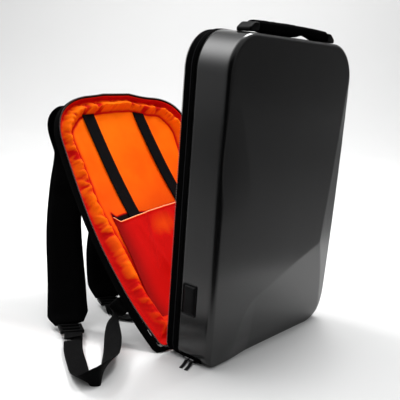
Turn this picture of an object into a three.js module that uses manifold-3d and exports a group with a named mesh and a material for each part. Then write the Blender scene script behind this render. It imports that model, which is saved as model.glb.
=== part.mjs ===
// A hard-shell backpack that stands on its base with its back flap unzipped and leaning open.
// Millimetres, +Z up. X runs across the bag and +Y points to its back. Every piece is placed from
// the plane of the shell's open rim, and the outer group moves that plane so that the origin is on
// the floor under the middle of the shell.

import * as THREE from "three";
import { mergeVertices } from "three/addons/utils/BufferGeometryUtils.js";
import Module from "manifold-3d";

const wasm = await Module();
wasm.setup();

// Driving dimensions of the bag
const WIDTH = 320;
const HEIGHT = 465;
const TOP_CORNER = 56;
const BASE_CORNER = 22;
const RIM_Y = 40;
const GAP = 0.3;

// Steps of the faceted surfaces
const CORNER_STEPS = 7;
const SIDE_STEPS = 12;
const LEAST_CORNER = 1;
const MERGE_WITHIN = 1e-4;

// Eased edges of straps: their height as a part of the thickness, and their width for that height
const FLAT_EASING = 0.25;
const PADDED_EASING = 0.33;
const EASING_WIDTH = 1.6;

// Rims of the shell and of the flap, whose sides have steps so that it can bend
const SHELL_RIM = { width: WIDTH, length: HEIGHT, top: TOP_CORNER, base: BASE_CORNER, steps: 1 };
const FLAP_RIM = { width: 314, length: 447, top: 82, base: 12, steps: SIDE_STEPS };

// Shell: sections from the rim to the front, with how far each one is set in from the outline, how
// far its sides flare out and how far its top drops
const SHELL_WALL = 3;
const SHELL_BACK = -18.3;
const SHELL_SECTIONS = [
  { y: SHELL_BACK, inset: 0, flare: 0.5, drop: 0 },
  { y: -71, inset: 0, flare: 5, drop: 3 },
  { y: -75.5, inset: 1, flare: 5, drop: 3 },
  { y: -78, inset: 3.5, flare: 5, drop: 3 },
  { y: -79.2, inset: 8, flare: 5, drop: 3 },
  { y: -80.6, inset: 50, flare: 5, drop: 3 },
  { y: -81.4, inset: 105, flare: 5, drop: 3 },
];
const RIM_CUT = 20;

// Flat facets moulded into the front, each through three points of its plane
const FRONT_FACETS = [
  { name: "right bevel", points: [[166, -78.5, 432], [121, -79.6, 145], [165, -72.5, 140]] },
  { name: "lower corner", points: [[121, -79.6, 146], [-75, -80.2, 82], [120, -69, 2]] },
];
const CUTTER = 1200;

// Port cover let into the left wall
const PORT = { y: -35.5, z: 92, width: 27, height: 46, outside: 2.4, inside: 3 };

// Fabric edge of the shell: a binding next to the moulding, then the zip's tape and teeth
const BINDING = { outer: 0.2, inner: 3.4, low: -18, high: -8.8 };
const SHELL_TAPE = { outer: 0.6, inner: 3.2, low: -8.5, high: 2.6 };
const SHELL_TEETH = { outer: 0.8, inner: 3, low: 2.9, high: 4.8 };

// Flap: leans from the hinge to the top along an arc, measured from the vertical
const FLAP_START = { y: 5.6, z: 13.4 };
const HINGE_LEAN = THREE.MathUtils.degToRad(54.4);
const TOP_LEAN = THREE.MathUtils.degToRad(26);
// The cloth twists, so that the flap's top right corner hangs nearer to the shell by this much
const FLAP_TWIST = 18;
const FLAP_TAPE = { outer: 0, inner: 2.6, low: -12.5, high: 0, taper: 2.4 };
const FLAP_TEETH = { outer: 0.3, inner: 2.3, low: GAP, high: 2 };

// Padded back panel of the flap
const BACK_FRONT_LEVEL = -13.1;
const BACK_INSET = 3.4;
const BACK_EDGE = 1.6;
const BACK_PADDING = 7;
// Rounding of the back's edges at its bottom, and above the level where it is full
const BACK_ROUNDING = { low: 10, full: 34, level: 150 };
// Insets of the rows at the back's ends, and the columns as parts of half its width
const BACK_ENDS = [BACK_INSET, 6, 10, 18, 30];
const BACK_COLUMNS = [-1, -0.97, -0.92, -0.82, -0.5, 0, 0.5, 0.82, 0.92, 0.97, 1];

// Lining: level of the cloth at distances from the flap's edge, then the flat panel
const LINING_THICKNESS = 1.5;
const PANEL_LEVEL = -10.5;
const PANEL_INSET = 44;
const LINING_EDGE = 4;
const LINING_BORDER = [
  { inset: LINING_EDGE, level: -0.8 },
  { inset: 6.5, level: -6.5 },
  { inset: 12, level: -8.6 },
  { inset: 17, level: -5.4 },
  { inset: 24, level: -2.6 },
  { inset: 32, level: -3.4 },
  { inset: 38, level: -7.5 },
  { inset: 41, level: -11 },
  { inset: PANEL_INSET, level: PANEL_LEVEL },
];
const PANEL_ROWS = [70, 110, 150, 190, 230, 270, 310, 350, 380, 405];
const PANEL_COLUMNS = [-95, -70, -23, 23, 70, 95];
// The border is narrower along the flap's top than down its sides, by this factor
const TOP_BORDER = 0.66;
// Gathers of the border: how many ripples run round it, how deep they are and where they lie
const GATHERS = { count: 26, depth: 1.1, from: 12, to: 38 };

// Pocket front on the lining
const POCKET = { bottom: 46, mouth: 227, half: 112, swell: 14, thickness: 1.2, rise: 110, fullness: 0.75 };
const POCKET_ROWS = 10;
const POCKET_COLUMNS = 12;
const POCKET_FOLDS = { count: 5, depth: 1.6 };

// Elastic straps on the lining
const ELASTIC = { width: 25, thickness: 1.2, low: 200, high: 404 };
const ELASTICS = [
  { name: "elastic_left", lowX: -52, highX: -76 },
  { name: "elastic_right", lowX: 74, highX: 41 },
];

// Shoulder straps: a padded part that lies on the back panel, bows out and falls to the floor
const STRAP_TOP_X = 72;
const STRAP_WIDTH = 62;
const STRAP_THICKNESS = 11;
const STRAP_STEPS = 24;
const STRAP_BOW = [
  { length: 345, lift: 0 },
  { length: 372, lift: 0 },
  { length: 402, lift: 3 },
  { length: 427, lift: 10 },
  { length: 440, lift: 19 },
];
const LEFT_STRAP_FALL = [
  { middle: [-82, 339, 304], side: [1, -0.1, 0], width: 60 },
  { middle: [-68, 334, 244], side: [0.95, -0.3, 0.1], width: 56 },
  { middle: [-106, 296, 190], side: [0.85, -0.5, 0], width: 56 },
  { middle: [-147, 250, 133], side: [0.75, -0.65, 0], width: 57 },
  { middle: [-178, 203, 58], side: [0.64, -0.77, 0], width: 60 },
  { middle: [-197, 176, 20], side: [0.62, -0.79, 0], width: 63 },
  { middle: [-207, 160, 11], side: [0.62, -0.79, 0], width: 50 },
];
const RIGHT_STRAP_FALL = [
  { middle: [84, 339, 304], side: [1, 0.1, 0], width: 60 },
  { middle: [66, 334, 244], side: [0.98, -0.1, 0.1], width: 58 },
  { middle: [32, 312, 188], side: [0.9, -0.35, 0.2], width: 60 },
  { middle: [-14, 284, 132], side: [0.85, -0.5, 0.1], width: 61 },
  { middle: [-52, 252, 80], side: [0.8, -0.6, 0], width: 62 },
  { middle: [-72, 226, 32], side: [0.78, -0.62, 0], width: 58 },
  { middle: [-82, 208, 14], side: [0.78, -0.62, 0], width: 40 },
];

// Adjusting webbing between the buckles and the anchors
const WEBBING_WIDTH = 24;
const WEBBING_THICKNESS = 2;
const WEBBING_STEPS = 36;
const WEBBING_LEAD = 7;
const LEFT_WEBBING = [
  { middle: [-262, 88, 7], side: [0.66, -0.75, 0] },
  { middle: [-285, 55, 6], side: [0.7, -0.7, 0] },
  { middle: [-305, 24, 5], side: [0.8, -0.55, -0.2] },
  { middle: [-316, 1, 8], side: [0.65, -0.35, -0.65] },
  { middle: [-304, -8, 12], side: [0.3, -0.2, -0.93] },
  { middle: [-281, 4, 14], side: [0.1, -0.1, -1] },
  { middle: [-249, 26, 15], side: [0, 0, -1] },
  { middle: [-216, 56, 18], side: [-0.2, 0, -1] },
  { middle: [-192, 85, 26], side: [0, 0, -1] },
  { middle: [-178, 95, 39], side: [0, 0, -1] },
];
const RIGHT_WEBBING = [
  { middle: [-109, 152, 4], side: [0.98, 0.2, 0] },
  { middle: [-98, 130, 3], side: [0.75, 0.65, 0] },
  { middle: [-62, 117, 2.2], side: [0.2, 1, 0] },
  { middle: [10, 116, 2.2], side: [0, 1, 0] },
  { middle: [90, 118, 2.4], side: [0, 1, 0] },
  { middle: [146, 114, 12], side: [0.2, 0.95, -0.2] },
  { middle: [174, 100, 36], side: [0, 0.5, -0.85] },
];

// Ladder-lock buckle: a frame with two bars across it
const BUCKLE = { width: 36, length: 30, thickness: 5, rail: 4.5, bar: 5, drop: 2 };

// Fabric tabs that carry the webbing on the flap's lower corners
const ANCHOR = { at: 88, reach: 2, root: 40, width: 28, tipWidth: 24, thickness: 2, steps: 2 };

// Chest strap between the shoulder straps, at this part of the way down each of them
const CHEST = { leftAt: 0.66, rightAt: 0.64, width: 20, thickness: 2, steps: 12 };
const CHEST_WAY = { lead: 12, sag: 12, clear: 0.8 };

// Handle on the top wall
const HANDLE = { y: -57, half: 93, width: 20, thickness: 9, endLevel: 469.5, topLevel: 477, steps: 20 };
const HANDLE_END = { length: 22, width: 24, height: 12.5, toe: 5, slope: 1.1, drop: 1.5 };

// Zip end at the lower left corner
const TAIL = { width: 9, thickness: 1.4, from: -19, to: -60, steps: 2 };
const SLIDER = { length: 8, width: 7, thickness: 3.2, steps: 2, places: [-37, -46.5] };
const PULL = { width: 5, thickness: 1.4, reach: 24, turn: -9, clear: 1, steps: 6, side: [0.3, 1, 0] };

// Hinge strip along the bottom of the rim
const HINGE = { half: 146, low: 0.4, high: 2.8, flapLow: -12.5, flapHigh: -4 };

// Finishes: colour, roughness and metalness
const FINISHES = {
  shell: { color: 0x3f4143, roughness: 0.5, metalness: 0.1 },
  trim: { color: 0x17181a, roughness: 0.55, metalness: 0 },
  fabric: { color: 0x121314, roughness: 0.9, metalness: 0 },
  webbing: { color: 0x1d1e20, roughness: 0.85, metalness: 0 },
  lining: { color: 0xff5a05, roughness: 0.7, metalness: 0 },
  teeth: { color: 0x3a3b3d, roughness: 0.5, metalness: 0.1 },
  metal: { color: 0x2a2b2d, roughness: 0.4, metalness: 0.8 },
};

const vec = (x, y, z) => new THREE.Vector3(x, y, z);

// Shared shapes

// Six times the volume inside the triangles; negative if they face inwards.
function facing(points, triangles) {
  return triangles.reduce((sum, [a, b, c]) => {
    const normal = new THREE.Vector3().crossVectors(points[b], points[c]);
    return sum + points[a].dot(normal);
  }, 0);
}

// A closed geometry from points and triangles, turned to face outwards.
function closedGeometry(points, triangles) {
  const outward = facing(points, triangles) > 0;
  const index = triangles.flatMap(([a, b, c]) => (outward ? [a, b, c] : [a, c, b]));
  const geometry = new THREE.BufferGeometry();
  const positions = points.flatMap((point) => point.toArray());
  geometry.setAttribute("position", new THREE.Float32BufferAttribute(positions, 3));
  geometry.setIndex(index);
  return geometry;
}

// Two triangles between neighbouring points of two rows.
function quad(a, b, c, d) {
  return [[a, b, c], [a, c, d]];
}

// A solid through rings of points: closed on itself, or with a fan about the middle of each end.
function loft(rings, joined = false) {
  const count = rings[0].length;
  const points = rings.flat();
  const triangles = [];
  const bands = joined ? rings.length : rings.length - 1;
  for (let r = 0; r < bands; r += 1) {
    const next = (r + 1) % rings.length;
    for (let i = 0; i < count; i += 1) {
      const j = (i + 1) % count;
      triangles.push(...quad(r * count + i, r * count + j, next * count + j, next * count + i));
    }
  }
  if (!joined) {
    [0, rings.length - 1].forEach((r, end) => {
      const middle = rings[r].reduce((sum, point) => sum.add(point), vec(0, 0, 0));
      points.push(middle.divideScalar(count));
      const hub = points.length - 1;
      for (let i = 0; i < count; i += 1) {
        const j = (i + 1) % count;
        const edge = end ? [r * count + i, r * count + j] : [r * count + j, r * count + i];
        triangles.push([hub, ...edge]);
      }
    });
  }
  return closedGeometry(points, triangles);
}

// A sheet with thickness: a front and a back grid of points, joined round their edges.
function sheet(front, back) {
  const rows = front.length;
  const columns = front[0].length;
  const points = [...front.flat(), ...back.flat()];
  const other = rows * columns;
  const at = (r, c) => r * columns + c;
  const triangles = [];
  for (let r = 0; r < rows - 1; r += 1) {
    for (let c = 0; c < columns - 1; c += 1) {
      const [a, b, d, e] = [at(r, c), at(r, c + 1), at(r + 1, c + 1), at(r + 1, c)];
      triangles.push(...quad(a, b, d, e));
      triangles.push(...quad(other + e, other + d, other + b, other + a));
    }
  }
  const [lastRow, lastColumn] = [rows - 1, columns - 1];
  const edge = [
    ...spread(0, lastColumn, lastColumn).slice(0, -1).map((c) => at(0, c)),
    ...spread(0, lastRow, lastRow).slice(0, -1).map((r) => at(r, lastColumn)),
    ...spread(lastColumn, 0, lastColumn).slice(0, -1).map((c) => at(lastRow, c)),
    ...spread(lastRow, 0, lastRow).slice(0, -1).map((r) => at(r, 0)),
  ];
  edge.forEach((a, i) => {
    const b = edge[(i + 1) % edge.length];
    triangles.push(...quad(a, other + a, other + b, b));
  });
  return closedGeometry(points, triangles);
}

// Evenly spaced numbers from the first to the last.
function spread(first, last, steps) {
  return Array.from({ length: steps + 1 }, (_, i) => first + ((last - first) * i) / steps);
}

// Value of a table at a place, on straight lines between its rows.
function lookUp(table, key, value, place) {
  if (place <= table[0][key]) return table[0][value];
  for (let i = 1; i < table.length; i += 1) {
    const [low, high] = [table[i - 1], table[i]];
    if (place <= high[key]) {
      const part = (place - low[key]) / (high[key] - low[key]);
      return THREE.MathUtils.lerp(low[value], high[value], part);
    }
  }
  return table[table.length - 1][value];
}

// Outline of a rim, set in by a distance, as points of x and height. Its sides can flare out and its
// top can drop.
function outline(rim, inset, flare = 0, drop = 0) {
  const half = rim.width / 2 + flare - inset;
  const points = [];
  const addCorner = (side, radius, atTop, start) => {
    const r = Math.max(radius - inset, LEAST_CORNER);
    const level = atTop ? rim.length - drop - inset - r : inset + r;
    spread(start, start + Math.PI / 2, CORNER_STEPS).forEach((angle) => {
      points.push(new THREE.Vector2(side * (half - r) + r * Math.cos(angle), level + r * Math.sin(angle)));
    });
  };
  const sideLevels = spread(rim.base, rim.length - rim.top, rim.steps).slice(1, -1);
  addCorner(1, rim.base, false, -Math.PI / 2);
  sideLevels.forEach((level) => points.push(new THREE.Vector2(half, level)));
  addCorner(1, rim.top, true, 0);
  addCorner(-1, rim.top, true, Math.PI / 2);
  sideLevels.reverse().forEach((level) => points.push(new THREE.Vector2(-half, level)));
  addCorner(-1, rim.base, false, Math.PI);
  return points;
}

// Radius of the flap's corner nearest to a level.
function cornerAt(level) {
  return level > FLAP_RIM.length / 2 ? FLAP_RIM.top : FLAP_RIM.base;
}

// Distance of a point of the flap from its edge.
function edgeDistance(x, level) {
  const radius = cornerAt(level);
  const across = Math.abs(x) - FLAP_RIM.width / 2 + radius;
  const along = Math.abs(level - FLAP_RIM.length / 2) - FLAP_RIM.length / 2 + radius;
  const corner = Math.hypot(Math.max(across, 0), Math.max(along, 0));
  return radius - corner - Math.min(Math.max(across, along), 0);
}

// Half the width at a level of the flap's outline, set in by a distance.
function halfWidth(level, inset) {
  const rise = Math.min(level, FLAP_RIM.length - level);
  const radius = cornerAt(level);
  const short = Math.max(radius - rise, 0);
  return FLAP_RIM.width / 2 - radius + Math.sqrt(Math.max((radius - inset) ** 2 - short ** 2, 0));
}

// Place on the shell: x, height, and y from the rim's plane.
function onShell(x, height, y) {
  return vec(x, y, height);
}

// The flap's lean from the vertical at a length along it.
function leanAt(length) {
  return THREE.MathUtils.lerp(HINGE_LEAN, TOP_LEAN, length / FLAP_RIM.length);
}

// Place on the flap: x, length along its arc from the hinge, and level above its rim. Positive
// levels are towards the shell, and the twist adds to them.
function onFlap(x, length, rimLevel) {
  const lean = leanAt(length);
  const twist = FLAP_TWIST * (x / FLAP_RIM.width + 0.5) * (length / FLAP_RIM.length) ** 2;
  const level = rimLevel + twist;
  const radius = FLAP_RIM.length / (HINGE_LEAN - TOP_LEAN);
  const y = FLAP_START.y + radius * (Math.cos(lean) - Math.cos(HINGE_LEAN));
  const z = FLAP_START.z + radius * (Math.sin(HINGE_LEAN) - Math.sin(lean));
  return vec(x, y - level * Math.cos(lean), z + level * Math.sin(lean));
}

// A band that follows a rim's outline, on the shell or on the flap. It can taper in at its low edge.
function rimBand(rim, band, place) {
  const taper = band.taper ?? 0;
  const outlines = [
    [band.outer + taper, band.low], [band.outer, band.high],
    [band.inner, band.high], [band.inner + taper, band.low],
  ].map(([inset, level]) => outline(rim, inset).map((point) => place(point.x, point.y, level)));
  return loft(outlines[0].map((_, i) => outlines.map((points) => points[i])), true);
}

// The smooth way of a strap through its stations, with its frame at any part of the way.
function strapWay(stations) {
  const middle = new THREE.CatmullRomCurve3(stations.map((s) => vec(...s.middle)), false, "centripetal");
  const side = new THREE.CatmullRomCurve3(stations.map((s) => vec(...s.side)), false, "centripetal");
  const width = (part) => {
    const place = part * (stations.length - 1);
    const low = Math.min(Math.floor(place), stations.length - 2);
    return THREE.MathUtils.lerp(stations[low].width, stations[low + 1].width, place - low);
  };
  return (part) => {
    const along = middle.getTangent(part);
    const across = side.getPoint(part);
    across.addScaledVector(along, -across.dot(along)).normalize();
    const up = new THREE.Vector3().crossVectors(along, across);
    return { middle: middle.getPoint(part), along, across, up, width: width(part) };
  };
}

// A strap solid: a section with eased edges carried along its way.
function strapSolid(way, thickness, steps, easing = FLAT_EASING) {
  const rings = spread(0, 1, steps).map((part) => {
    const { middle, across, up, width } = way(part);
    const [edge, face] = [width / 2, thickness / 2];
    const high = face - easing * thickness;
    const flat = edge - easing * thickness * EASING_WIDTH;
    const section = [
      [edge, high], [flat, face], [-flat, face], [-edge, high],
      [-edge, -high], [-flat, -face], [flat, -face], [edge, -high],
    ];
    return section.map(([u, v]) => middle.clone().addScaledVector(across, u).addScaledVector(up, v));
  });
  return loft(rings);
}

// Cuts and joins

function toSolid(geometry) {
  const bare = geometry.clone();
  bare.deleteAttribute("normal");
  bare.deleteAttribute("uv");
  const merged = mergeVertices(bare, MERGE_WITHIN);
  return new wasm.Manifold(new wasm.Mesh({
    numProp: 3,
    vertProperties: new Float32Array(merged.attributes.position.array),
    triVerts: new Uint32Array(merged.index.array),
  }));
}

function toGeometry(solid) {
  const mesh = solid.getMesh();
  const geometry = new THREE.BufferGeometry();
  geometry.setAttribute("position", new THREE.Float32BufferAttribute(mesh.vertProperties, 3));
  geometry.setIndex(Array.from(mesh.triVerts));
  return geometry;
}

// A box with its corners given, as a geometry.
function boxBetween(low, high) {
  const size = high.clone().sub(low);
  const box = new THREE.BoxGeometry(size.x, size.y, size.z);
  const middle = low.clone().add(high).multiplyScalar(0.5);
  return box.translate(middle.x, middle.y, middle.z);
}

// Assembly

const bag = new THREE.Group();
const fromRim = new THREE.Group();
fromRim.position.y = RIM_Y;
bag.add(fromRim);

function addPiece(name, geometry, finish) {
  geometry.computeVertexNormals();
  const mesh = new THREE.Mesh(geometry, new THREE.MeshStandardMaterial(FINISHES[finish]));
  mesh.name = name;
  fromRim.add(mesh);
}

// Shell

// A block that removes what lies in front of a facet's plane, moved back by the wall for the inside.
function facetCutter(facet, setBack) {
  const [a, b, c] = facet.points.map((point) => vec(...point));
  const plane = new THREE.Plane().setFromCoplanarPoints(a, b, c);
  const normal = plane.normal.y > 0 ? plane.normal.clone().negate() : plane.normal;
  const turn = new THREE.Quaternion().setFromUnitVectors(vec(0, -1, 0), normal);
  const middle = a.clone().addScaledVector(normal, CUTTER / 2 - setBack);
  const block = new THREE.BoxGeometry(CUTTER, CUTTER, CUTTER);
  return block.applyQuaternion(turn).translate(middle.x, middle.y, middle.z);
}

// How far the shell's sides have flared out at a place between the rim and the front.
function flareAt(y) {
  const [rim, front] = SHELL_SECTIONS;
  return THREE.MathUtils.mapLinear(y, rim.y, front.y, rim.flare, front.flare);
}

// The shell's form, outside or set in by the wall: rings of the outline from the rim to the front,
// cut by the facets.
function shellForm(setIn) {
  const rings = SHELL_SECTIONS.map((section, i) => {
    const inside = i === 0 && setIn > 0 ? RIM_CUT : setIn;
    const points = outline(SHELL_RIM, section.inset + setIn, section.flare, section.drop);
    return points.map((point) => onShell(point.x, point.y, section.y + inside));
  });
  return FRONT_FACETS.reduce(
    (solid, facet) => solid.subtract(toSolid(facetCutter(facet, setIn))),
    toSolid(loft(rings)),
  );
}

function portBox(clearance, outside, inside) {
  const [halfWide, halfHigh] = [PORT.width / 2 + clearance, PORT.height / 2 + clearance];
  return boxBetween(
    vec(-WIDTH / 2 - outside, PORT.y - halfWide, PORT.z - halfHigh),
    vec(-WIDTH / 2 + inside, PORT.y + halfWide, PORT.z + halfHigh),
  );
}

function addShell() {
  const hollow = shellForm(0).subtract(shellForm(SHELL_WALL));
  const window = toSolid(portBox(GAP, 2 * SHELL_WALL, 2 * SHELL_WALL));
  addPiece("shell", toGeometry(hollow.subtract(window)), "shell");
  addPiece("port_cover", portBox(0, PORT.outside, PORT.inside), "trim");
  addPiece("shell_binding", rimBand(SHELL_RIM, BINDING, onShell), "fabric");
  addPiece("zip_tape_shell", rimBand(SHELL_RIM, SHELL_TAPE, onShell), "fabric");
  addPiece("zip_teeth_shell", rimBand(SHELL_RIM, SHELL_TEETH, onShell), "teeth");
}

// Zip end: a tail along the lower left corner with two sliders and their pulls

function addZipEnd() {
  const outward = vec(-Math.SQRT1_2, 0, -Math.SQRT1_2);
  const across = [Math.SQRT1_2, 0, -Math.SQRT1_2];
  const corner = (reach, y) => {
    const middle = vec(BASE_CORNER - WIDTH / 2 - flareAt(y), y, BASE_CORNER);
    return middle.addScaledVector(outward, BASE_CORNER + reach);
  };
  const tailReach = GAP + TAIL.thickness / 2;
  const tail = [TAIL.from, TAIL.to].map((y) => (
    { middle: corner(tailReach, y).toArray(), side: across, width: TAIL.width }
  ));
  addPiece("zip_tail", strapSolid(strapWay(tail), TAIL.thickness, TAIL.steps), "fabric");
  SLIDER.places.forEach((y, i) => {
    const reach = 2 * GAP + TAIL.thickness + SLIDER.thickness / 2;
    const body = [-1, 1].map((end) => (
      { middle: corner(reach, y + (end * SLIDER.length) / 2).toArray(), side: across, width: SLIDER.width }
    ));
    const slider = strapSolid(strapWay(body), SLIDER.thickness, SLIDER.steps);
    addPiece(`zip_slider_${i + 1}`, slider, "metal");
    const start = corner(reach + SLIDER.thickness / 2 + GAP, y);
    const low = PULL.thickness / 2 + GAP;
    const pull = [
      { middle: [start.x - PULL.clear, y, Math.max(start.z, low)], side: [0, 1, 0], width: PULL.width },
      { middle: [start.x - PULL.reach / 2, y + PULL.turn / 2, low], side: PULL.side, width: PULL.width },
      { middle: [start.x - PULL.reach, y + PULL.turn, low], side: PULL.side, width: PULL.width },
    ];
    const tab = strapSolid(strapWay(pull), PULL.thickness, PULL.steps);
    addPiece(`zip_pull_${i + 1}`, tab, "metal");
  });
}

// Handle: an arched grip held by an end piece at each side

function addHandle() {
  const rise = HANDLE.topLevel - HANDLE.endLevel;
  const stations = spread(-1, 1, HANDLE.steps).map((part) => ({
    middle: [part * HANDLE.half, HANDLE.y, HANDLE.endLevel + rise * (1 - part * part) ** 2],
    side: [0, 1, 0],
    width: HANDLE.width,
  }));
  addPiece("handle_grip", strapSolid(strapWay(stations), HANDLE.thickness, HANDLE.steps), "fabric");
  [["left", -1], ["right", 1]].forEach(([name, side]) => {
    const near = HANDLE.half + 2 * GAP;
    const far = near + HANDLE_END.length;
    const foot = HEIGHT - HANDLE_END.drop + GAP;
    const flat = WIDTH / 2 - TOP_CORNER;
    const profile = new THREE.Shape();
    profile.moveTo(side * near, foot);
    profile.lineTo(side * flat, foot);
    profile.lineTo(side * far, foot - HANDLE_END.slope);
    profile.lineTo(side * far, foot + HANDLE_END.toe);
    profile.lineTo(side * (near + HANDLE_END.length / 2), foot + HANDLE_END.height);
    profile.lineTo(side * near, foot + HANDLE_END.height);
    const block = new THREE.ExtrudeGeometry(profile, { depth: HANDLE_END.width, bevelEnabled: false });
    block.rotateX(Math.PI / 2);
    block.translate(0, HANDLE.y + HANDLE_END.width / 2, 0);
    addPiece(`handle_end_${name}`, block, "trim");
  });
}

// Flap: padded back, zip edge, lining, pocket and elastic straps

// Levels of rows up the flap, close together where the border rises at both ends.
function flapRows() {
  const insets = LINING_BORDER.map((row) => row.inset);
  const atTop = insets.map((inset) => LINING_EDGE + (inset - LINING_EDGE) * TOP_BORDER);
  return [...insets, ...PANEL_ROWS, ...atTop.map((inset) => FLAP_RIM.length - inset).reverse()];
}

// Places of columns across the flap at a level, close together in the border.
function flapColumns(level) {
  const half = halfWidth(level, LINING_EDGE) + LINING_EDGE;
  const insets = LINING_BORDER.map((row) => row.inset);
  const inner = PANEL_COLUMNS.map((x) => (x * (half - PANEL_INSET)) / (FLAP_RIM.width / 2 - PANEL_INSET));
  return [...insets.map((inset) => inset - half), ...inner, ...insets.map((inset) => half - inset).reverse()];
}

// The lining's level: the border's table, narrowed at the top and rippled where it is gathered.
function liningLevel(x, level) {
  const round = Math.atan2(x / FLAP_RIM.width, level / FLAP_RIM.length - 0.5);
  const narrow = THREE.MathUtils.lerp(1, TOP_BORDER, Math.max(Math.cos(round), 0) ** 2);
  const distance = LINING_EDGE + (edgeDistance(x, level) - LINING_EDGE) / narrow;
  const gathered = (distance - GATHERS.from) / (GATHERS.to - GATHERS.from);
  const inBorder = Math.sin(Math.PI * THREE.MathUtils.clamp(gathered, 0, 1));
  const ripple = GATHERS.depth * inBorder * Math.sin(GATHERS.count * round);
  return lookUp(LINING_BORDER, "inset", "level", distance) + ripple;
}

function addLining() {
  const surface = (drop) => flapRows().map((level) => flapColumns(level).map(
    (x) => onFlap(x, level, liningLevel(x, level) - drop),
  ));
  addPiece("flap_lining", sheet(surface(0), surface(LINING_THICKNESS)), "lining");
}

function addFlapBack() {
  const atTop = BACK_ENDS.map((inset) => FLAP_RIM.length - inset).reverse();
  const rows = [...BACK_ENDS, ...PANEL_ROWS, ...atTop];
  const surface = (levelAt) => rows.map((level) => BACK_COLUMNS.map((part) => {
    const x = part * halfWidth(level, BACK_INSET);
    return onFlap(x, level, levelAt(edgeDistance(x, level) - BACK_INSET, level));
  }));
  const front = surface(() => BACK_FRONT_LEVEL);
  const back = surface((distance, level) => {
    const part = THREE.MathUtils.smoothstep(level, 0, BACK_ROUNDING.level);
    const rounding = THREE.MathUtils.lerp(BACK_ROUNDING.low, BACK_ROUNDING.full, part);
    const short = 1 - THREE.MathUtils.clamp(distance / rounding, 0, 1);
    return BACK_FRONT_LEVEL - BACK_EDGE - BACK_PADDING * Math.sqrt(1 - short * short);
  });
  addPiece("flap_back", sheet(front, back), "fabric");
}

// How far the pocket's front stands off the panel.
function pocketSwell(x, level) {
  const across = Math.max(1 - (x / POCKET.half) ** 2, 0) ** POCKET.fullness;
  const rise = THREE.MathUtils.smoothstep(level, POCKET.bottom, POCKET.bottom + POCKET.rise);
  const wave = Math.sin((POCKET_FOLDS.count * Math.PI * x) / POCKET.half);
  const folds = POCKET_FOLDS.depth * across * rise * wave;
  return POCKET.swell * across * rise + folds;
}

function addPocket() {
  const surface = (lift) => spread(POCKET.bottom, POCKET.mouth, POCKET_ROWS).map((level) => (
    spread(-POCKET.half, POCKET.half, POCKET_COLUMNS).map(
      (x) => onFlap(x, level, PANEL_LEVEL + GAP + lift + pocketSwell(x, level)),
    )
  ));
  addPiece("pocket", sheet(surface(POCKET.thickness), surface(0)), "lining");
}

function addElastics() {
  ELASTICS.forEach(({ name, lowX, highX }) => {
    const surface = (lift) => spread(0, 1, SIDE_STEPS).map((part) => [-0.5, 0.5].map((edge) => {
      const x = THREE.MathUtils.lerp(lowX, highX, part) + edge * ELASTIC.width;
      const level = THREE.MathUtils.lerp(ELASTIC.low, ELASTIC.high, part);
      return onFlap(x, level, PANEL_LEVEL + 2 * GAP + lift);
    }));
    addPiece(name, sheet(surface(ELASTIC.thickness), surface(0)), "webbing");
  });
}

function addHinge() {
  const rim = SHELL_TEETH.high + GAP;
  const meet = (level) => onFlap(0, (FLAP_TAPE.taper * level) / FLAP_TAPE.low - GAP, level);
  const profile = new THREE.Shape();
  profile.moveTo(rim, HINGE.low);
  profile.lineTo(meet(HINGE.flapLow).y, meet(HINGE.flapLow).z);
  profile.lineTo(meet(HINGE.flapHigh).y, meet(HINGE.flapHigh).z);
  profile.lineTo(rim, HINGE.high);
  const strip = new THREE.ExtrudeGeometry(profile, { depth: 2 * HINGE.half, bevelEnabled: false });
  strip.applyMatrix4(new THREE.Matrix4().makeBasis(vec(0, 1, 0), vec(0, 0, 1), vec(1, 0, 0)));
  strip.translate(-HINGE.half, 0, 0);
  addPiece("hinge", strip, "fabric");
}

function addFlap() {
  addPiece("zip_tape_flap", rimBand(FLAP_RIM, FLAP_TAPE, onFlap), "fabric");
  addPiece("zip_teeth_flap", rimBand(FLAP_RIM, FLAP_TEETH, onFlap), "teeth");
  addFlapBack();
  addLining();
  addPocket();
  addElastics();
  addHinge();
}

// Harness: shoulder straps, buckles, webbing, anchors and chest strap

const BACK_LEVEL = BACK_FRONT_LEVEL - BACK_EDGE - BACK_PADDING;

// The strap's first stations lie on the back panel, then it bows away from it.
function shoulderWay(side, fall) {
  const lying = BACK_LEVEL - GAP - STRAP_THICKNESS / 2;
  const x = side * STRAP_TOP_X;
  const onBack = STRAP_BOW.map(({ length, lift }) => ({
    middle: onFlap(x, length, lying - lift).toArray(),
    side: onFlap(x + 1, length, lying).sub(onFlap(x, length, lying)).toArray(),
    width: STRAP_WIDTH,
  }));
  return strapWay([...onBack, ...fall]);
}

// A ladder-lock buckle in the plane of a strap's end, as a frame with bars across it.
function buckleSolid() {
  const { width, length, thickness, rail, bar } = BUCKLE;
  const frame = new THREE.Shape();
  frame.moveTo(-width / 2, 0);
  frame.lineTo(width / 2, 0);
  frame.lineTo(width / 2, length);
  frame.lineTo(-width / 2, length);
  const slot = (length - 3 * bar) / 2;
  [bar, 2 * bar + slot].forEach((from) => {
    const hole = new THREE.Path();
    hole.moveTo(rail - width / 2, from);
    hole.lineTo(rail - width / 2, from + slot);
    hole.lineTo(width / 2 - rail, from + slot);
    hole.lineTo(width / 2 - rail, from);
    frame.holes.push(hole);
  });
  const solid = new THREE.ExtrudeGeometry(frame, { depth: thickness, bevelEnabled: false });
  return solid.translate(0, 0, -thickness / 2);
}

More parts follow.
